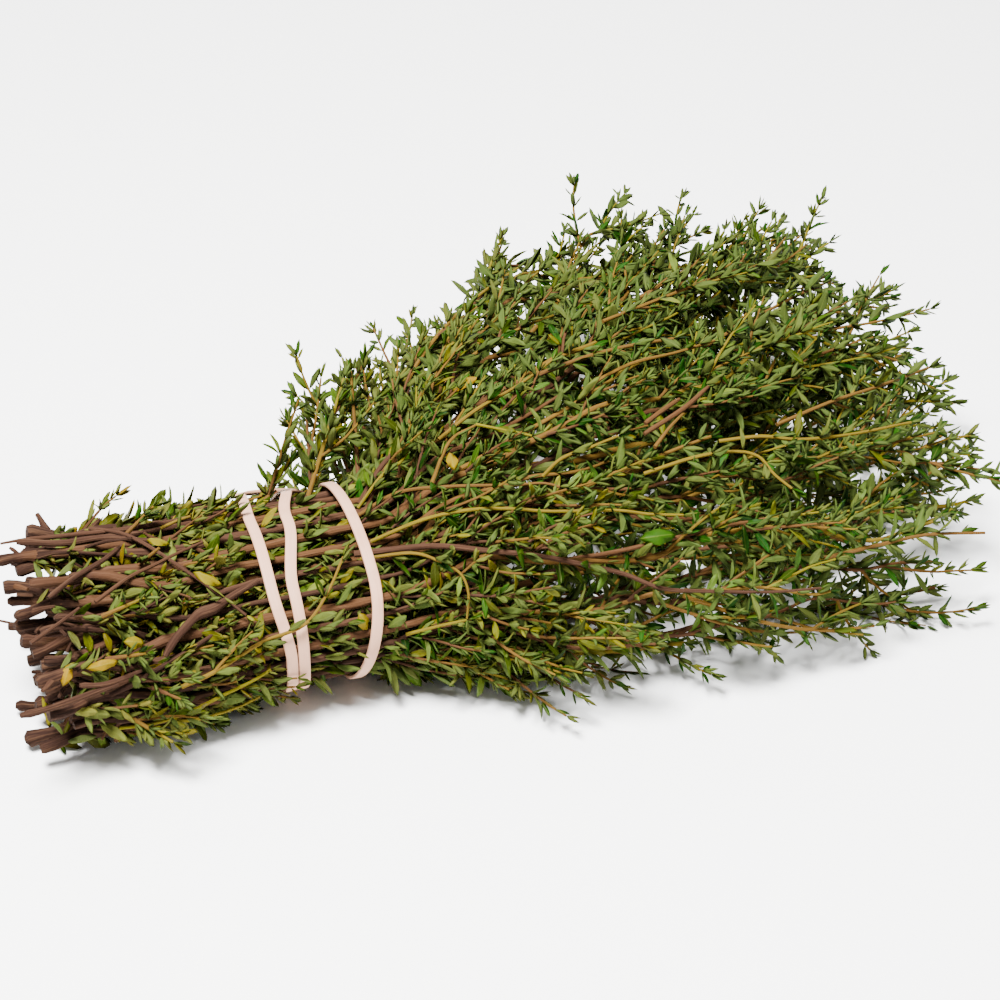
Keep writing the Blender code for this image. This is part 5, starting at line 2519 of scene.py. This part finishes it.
@dataclass(frozen=True)
class LoosePiece:
    """A twig or shoot on the outside of the bunch, with the leaves and twiglets it bears."""

    name: str
    slot: str
    marks: Marks
    radius: float
    off: float
    wood: float
    habit: LeafHabit
    leafy_from: float
    taper: float = 0.45
    slimmer: float = 0.75

    def route(self, tie: TiedSection) -> Route:
        """Lays its centre line over the stems.

        Args:
            tie: The tied section.

        Returns:
            The route.
        """
        points = [tie.point(angle, place * MM, self.off)[0] for place, angle in self.marks]
        route = Route.through(points)
        end = route.places[-1]
        route.radii = [self.radius * (1 - self.taper * place / end) for place in route.places]
        return route

    def grow(self, tie: TiedSection, grower: Grower) -> Foliage:
        """Grows its stalk, leaves and twiglets.

        Args:
            tie: The tied section.
            grower: Grows the leaves.

        Returns:
            The foliage.
        """
        route = smoothed(self.route(tie))
        route.radii = [radius * self.slimmer for radius in route.radii]
        tone = 0.9 if self.wood < 0.5 else 0.3
        foliage = Foliage([Stalk(route.points, route.radii, [self.wood] * len(route.points), tone)])
        start = route.places[-1] * self.leafy_from
        _, outward = tie.point(self.marks[-1][1], self.marks[-1][0] * MM, self.off)
        grower.grow_leaves(
            foliage, route, start, route.places[-1], lambda _: self.habit, lambda _: self.wood,
            outward
        )
        return foliage


TWIG = LoosePiece(
    "loose_twig", "bark", ((-50, 66), (-42, 84), (-32, 116), (-21, 146)), 0.85 * MM, 3.5 * MM, 1.0,
    replace(BUTT_HABIT, share=0.3, tuft_share=0.1, branch_share=0.2, age=(0.7, 1.0)), 0.35,
)
YOUNG_SHOOT = LoosePiece(
    "young_shoot", "young", ((-39, 178), (-31, 173), (-19, 162), (-8, 157), (-1, 143), (5, 126)),
    0.8 * MM, 4.7 * MM, 0.0,
    LeafHabit(
        mm(5.0, 7.0), (30, 70), mm(5.2, 8.0), tuft_share=0.35, branch_share=0.25, age=(0.45, 0.72),
        branch_length=mm(8, 14), outward_share=1.0,
    ),
    0.16,
)


@dataclass(frozen=True)
class Studio:
    """Floor, soft light and camera."""

    tied_middle: Vector
    target: Triple = mm(49.8, -7.83, 36.25)
    azimuth: float = -26.85
    elevation: float = 33.28
    distance: float = 0.702
    lens: float = 101.6
    sensor: float = 36.0
    floor_size: float = 6.0
    floor_height: float = -0.0001
    world_light: float = 0.33
    lights: tuple = (
        ("key", (-0.30, -0.20, 1.0), 0.36, 84.0),
        ("fill", (0.7, -0.5, 0.6), 0.8, 5.0),
        ("back", (0.35, 0.9, 0.55), 0.9, 10.0),
    )

    def build(self) -> None:
        """Makes all three."""
        self.add_floor()
        self.add_world()
        for light in self.lights:
            self.add_light(*light)
        self.add_camera()

    def add_floor(self) -> None:
        """Adds the floor."""
        bpy.ops.mesh.primitive_plane_add(size=self.floor_size, location=(0, 0, self.floor_height))
        floor = bpy.context.object
        floor.name = "floor"
        floor.data.transform(floor.matrix_world)
        floor.matrix_world = Matrix.Identity(4)
        floor.data.materials.append(FloorFinish().make())
        floor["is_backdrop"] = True

    def add_world(self) -> None:
        """Adds even light from all round."""
        world = bpy.data.worlds.new("studio")
        bpy.context.scene.world = world
        world.use_nodes = True
        background = world.node_tree.nodes["Background"]
        background.inputs["Color"].default_value = (1.0, 1.0, 1.0, 1.0)
        background.inputs["Strength"].default_value = self.world_light

    def add_camera(self) -> None:
        """Adds the camera at the photo's angle."""
        scene = bpy.context.scene
        data = bpy.data.cameras.new("camera")
        data.lens = self.lens
        data.sensor_width = self.sensor
        camera = bpy.data.objects.new("camera", data)
        scene.collection.objects.link(camera)
        turn, lift = math.radians(self.azimuth), math.radians(self.elevation)
        back = Vector((
            math.sin(turn) * math.cos(lift), -math.cos(turn) * math.cos(lift), math.sin(lift),
        ))
        camera.location = self.tied_middle + Vector(self.target) + back * self.distance
        camera.rotation_euler = back.to_track_quat("Z", "Y").to_euler()
        scene.camera = camera

    @staticmethod
    def add_light(name: str, place: Triple, size: float, power: float) -> None:
        """Adds a square soft light that points at the bunch.

        Args:
            name: Its name.
            place: Where it stands.
            size: Its side.
            power: Its power in watts.
        """
        data = bpy.data.lights.new(name, "AREA")
        data.size = size
        data.energy = power
        light = bpy.data.objects.new(name, data)
        light.location = place
        light.rotation_euler = Vector(place).to_track_quat("Z", "Y").to_euler()
        bpy.context.scene.collection.objects.link(light)


def layout_shift(sprigs: list[SprigLines]) -> Vector:
    """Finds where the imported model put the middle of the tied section.

    Args:
        sprigs: The sprigs' lines, measured from the middle of the tied section.

    Returns:
        The shift from those coordinates to the frame's.
    """
    shifts = []
    for sprig in sprigs:
        corners = {
            tuple(round(c, 7) for c in vert.co) for vert in frame["nodes"][sprig.name].data.vertices
        }
        left = min(corner[0] for corner in corners)
        cut = np.mean([corner for corner in corners if corner[0] < left + 3 * MM], axis=0)
        shifts.append(cut - np.array(sprig.cut))
    return Vector(np.median(shifts, axis=0))


def nearest_sprig(hosts: list[SprigLines], angle: float) -> str:
    """Name of the sprig whose stem lies nearest to this many degrees round the tied section."""
    across, up = slot_at(angle)
    return max(hosts, key=lambda lines: lines.slot[0] * across + lines.slot[1] * up).name


def dress(piece: Object, slot: str, *nodes: str) -> None:
    """Hands a finished piece to the frame and logs it.

    Args:
        piece: The piece.
        slot: Its material slot. Not used.
        nodes: The CAD nodes that it replaces.
    """
    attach(piece, "root")
    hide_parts(*nodes)
    piece.data.calc_loop_triangles()
    log.info("%s: %d triangles", piece.name, len(piece.data.loop_triangles))


def spaces_to_clear(
    winding: BandWinding, loose: dict[str, Route], fan: FanShape
) -> tuple[TakenSpace, TakenSpace]:
    """Finds the room that leaves keep out of.

    Args:
        winding: The rubber band's path.
        loose: Routes of the loose pieces, by name.
        fan: The bunch's shape.

    Returns:
        The room of the band and of all that shows over the leaves, and that of the band alone.
    """
    clear_of, band_only = TakenSpace(), TakenSpace()
    for space in (clear_of, band_only):
        space.add("rubber_band", winding.balls())
    seen_side = fan.tie.outward(slot_at(SEEN_ANGLE))
    for name, route in loose.items():
        clear_of.add(name, shield(route, seen_side, TWIG_SHIELD))
    for stem in SHOWN_STEMS:
        clear_of.add("shown", shield(stem.route(fan), seen_side, STEM_SHIELD))
    return clear_of, band_only


def grow_shown(sprigs: list[SprigLines], fan: FanShape, grower: Grower) -> dict[str, Foliage]:
    """Grows the stems and leaves that stand out, each as part of the nearest outermost sprig.

    Args:
        sprigs: The sprigs' lines.
        fan: The bunch's shape.
        grower: Grows their leaves.

    Returns:
        What each sprig gains, by its name.
    """
    hosts = [lines for lines in sprigs if lines.ring == fan.tie.outermost]
    shown = {lines.name: Foliage() for lines in sprigs}
    for stem in SHOWN_STEMS:
        added = stem.grow(fan, grower)
        host = shown[nearest_sprig(hosts, stem.marks[0][1])]
        host.stalks += added.stalks
        host.leaves += added.leaves
    for leaf in SHOWN_LEAVES:
        shown[nearest_sprig(hosts, leaf.root.angle)].leaves.append(leaf.grow(fan))
    return shown


def make_leaf_shapes() -> Collection:
    """Makes the leaf shapes that the nodes place.

    Returns:
        Their collection, in the order of LeafKind.
    """
    shapes = bpy.data.collections.new("leaf_shapes")
    for shape in (
        LeafShape(LeafKind.BLADE, fold=0.3, arch=1.1, twist=0.2),
        LeafShape(LeafKind.CUPPED, fold=0.8, arch=-0.9, twist=-0.5),
        LeafShape(LeafKind.YOUNG, ((0.3, 0.45), (0.72, 0.42)), fold=0.5, arch=-0.6),
        LeafShape(LeafKind.ROUND, fold=-0.3, arch=0.8, twist=-0.4),
    ):
        shape.build(shapes)
    return shapes


def main() -> None:
    """Builds the bunch, its band and the studio round it."""
    cad_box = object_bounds()
    tie = TiedSection()
    fan = FanShape(tie)
    winding = BandWinding(tie)
    loose = {piece.name: piece.route(tie) for piece in (TWIG, YOUNG_SHOOT)}
    sprigs = SprigPlanner(fan, random.Random(SEED), TakenSpace()).lay(winding, loose)
    shift = layout_shift(sprigs)
    log.info("shift %s", [round(c / MM, 3) for c in shift])

    clear_of, band_only = spaces_to_clear(winding, loose, fan)
    low, high = cad_box
    rng = random.Random(SEED + 1)
    grower = Grower(rng, clear_of, low - shift - Vector(BOX_MARGIN), high - shift)
    dresser = SprigFoliage(grower, rng, fan)

    shapes = make_leaf_shapes()
    leaf, bark, rubber = LeafFinish().make(), BarkFinish().make(), RubberFinish().make()
    maker = PieceMaker(GrowthTree().make(), shapes, shift)

    show = replace(grower, rng=random.Random(SEED + 2), clear_of=band_only, band_gap=SHOWN_GAP)
    shown = grow_shown(sprigs, fan, show)
    for lines in sprigs:
        foliage = dresser.grow(lines)
        foliage.stalks += shown[lines.name].stalks
        foliage.leaves += shown[lines.name].leaves
        log.info("%s: %d leaves, %d stalks", lines.name, len(foliage.leaves), len(foliage.stalks))
        piece = maker.make(lines.name + "_fine", foliage, leaf, bark)
        dress(piece, "thyme", lines.name)
    over_band = replace(grower, clear_of=band_only)
    for loose_piece in (TWIG, YOUNG_SHOOT):
        piece = maker.make(loose_piece.name + "_fine", loose_piece.grow(tie, over_band), leaf, bark)
        dress(piece, loose_piece.slot, loose_piece.name)
    dress(RubberBand(winding).build(shift, rubber), "rubber", "rubber_band")
    for shape in list(shapes.objects):
        bpy.data.objects.remove(shape)
    bpy.data.collections.remove(shapes)
    Studio(shift).build()

    boxes = {"cad": [list(corner) for corner in cad_box], "visual": [list(corner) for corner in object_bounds()]}
    log.info(
        "%s",
        {
            name: [[round(c / MM, 1) for c in corner] for corner in box]
            for name, box in boxes.items()
        }
    )


if __name__ == "__main__":
    main()
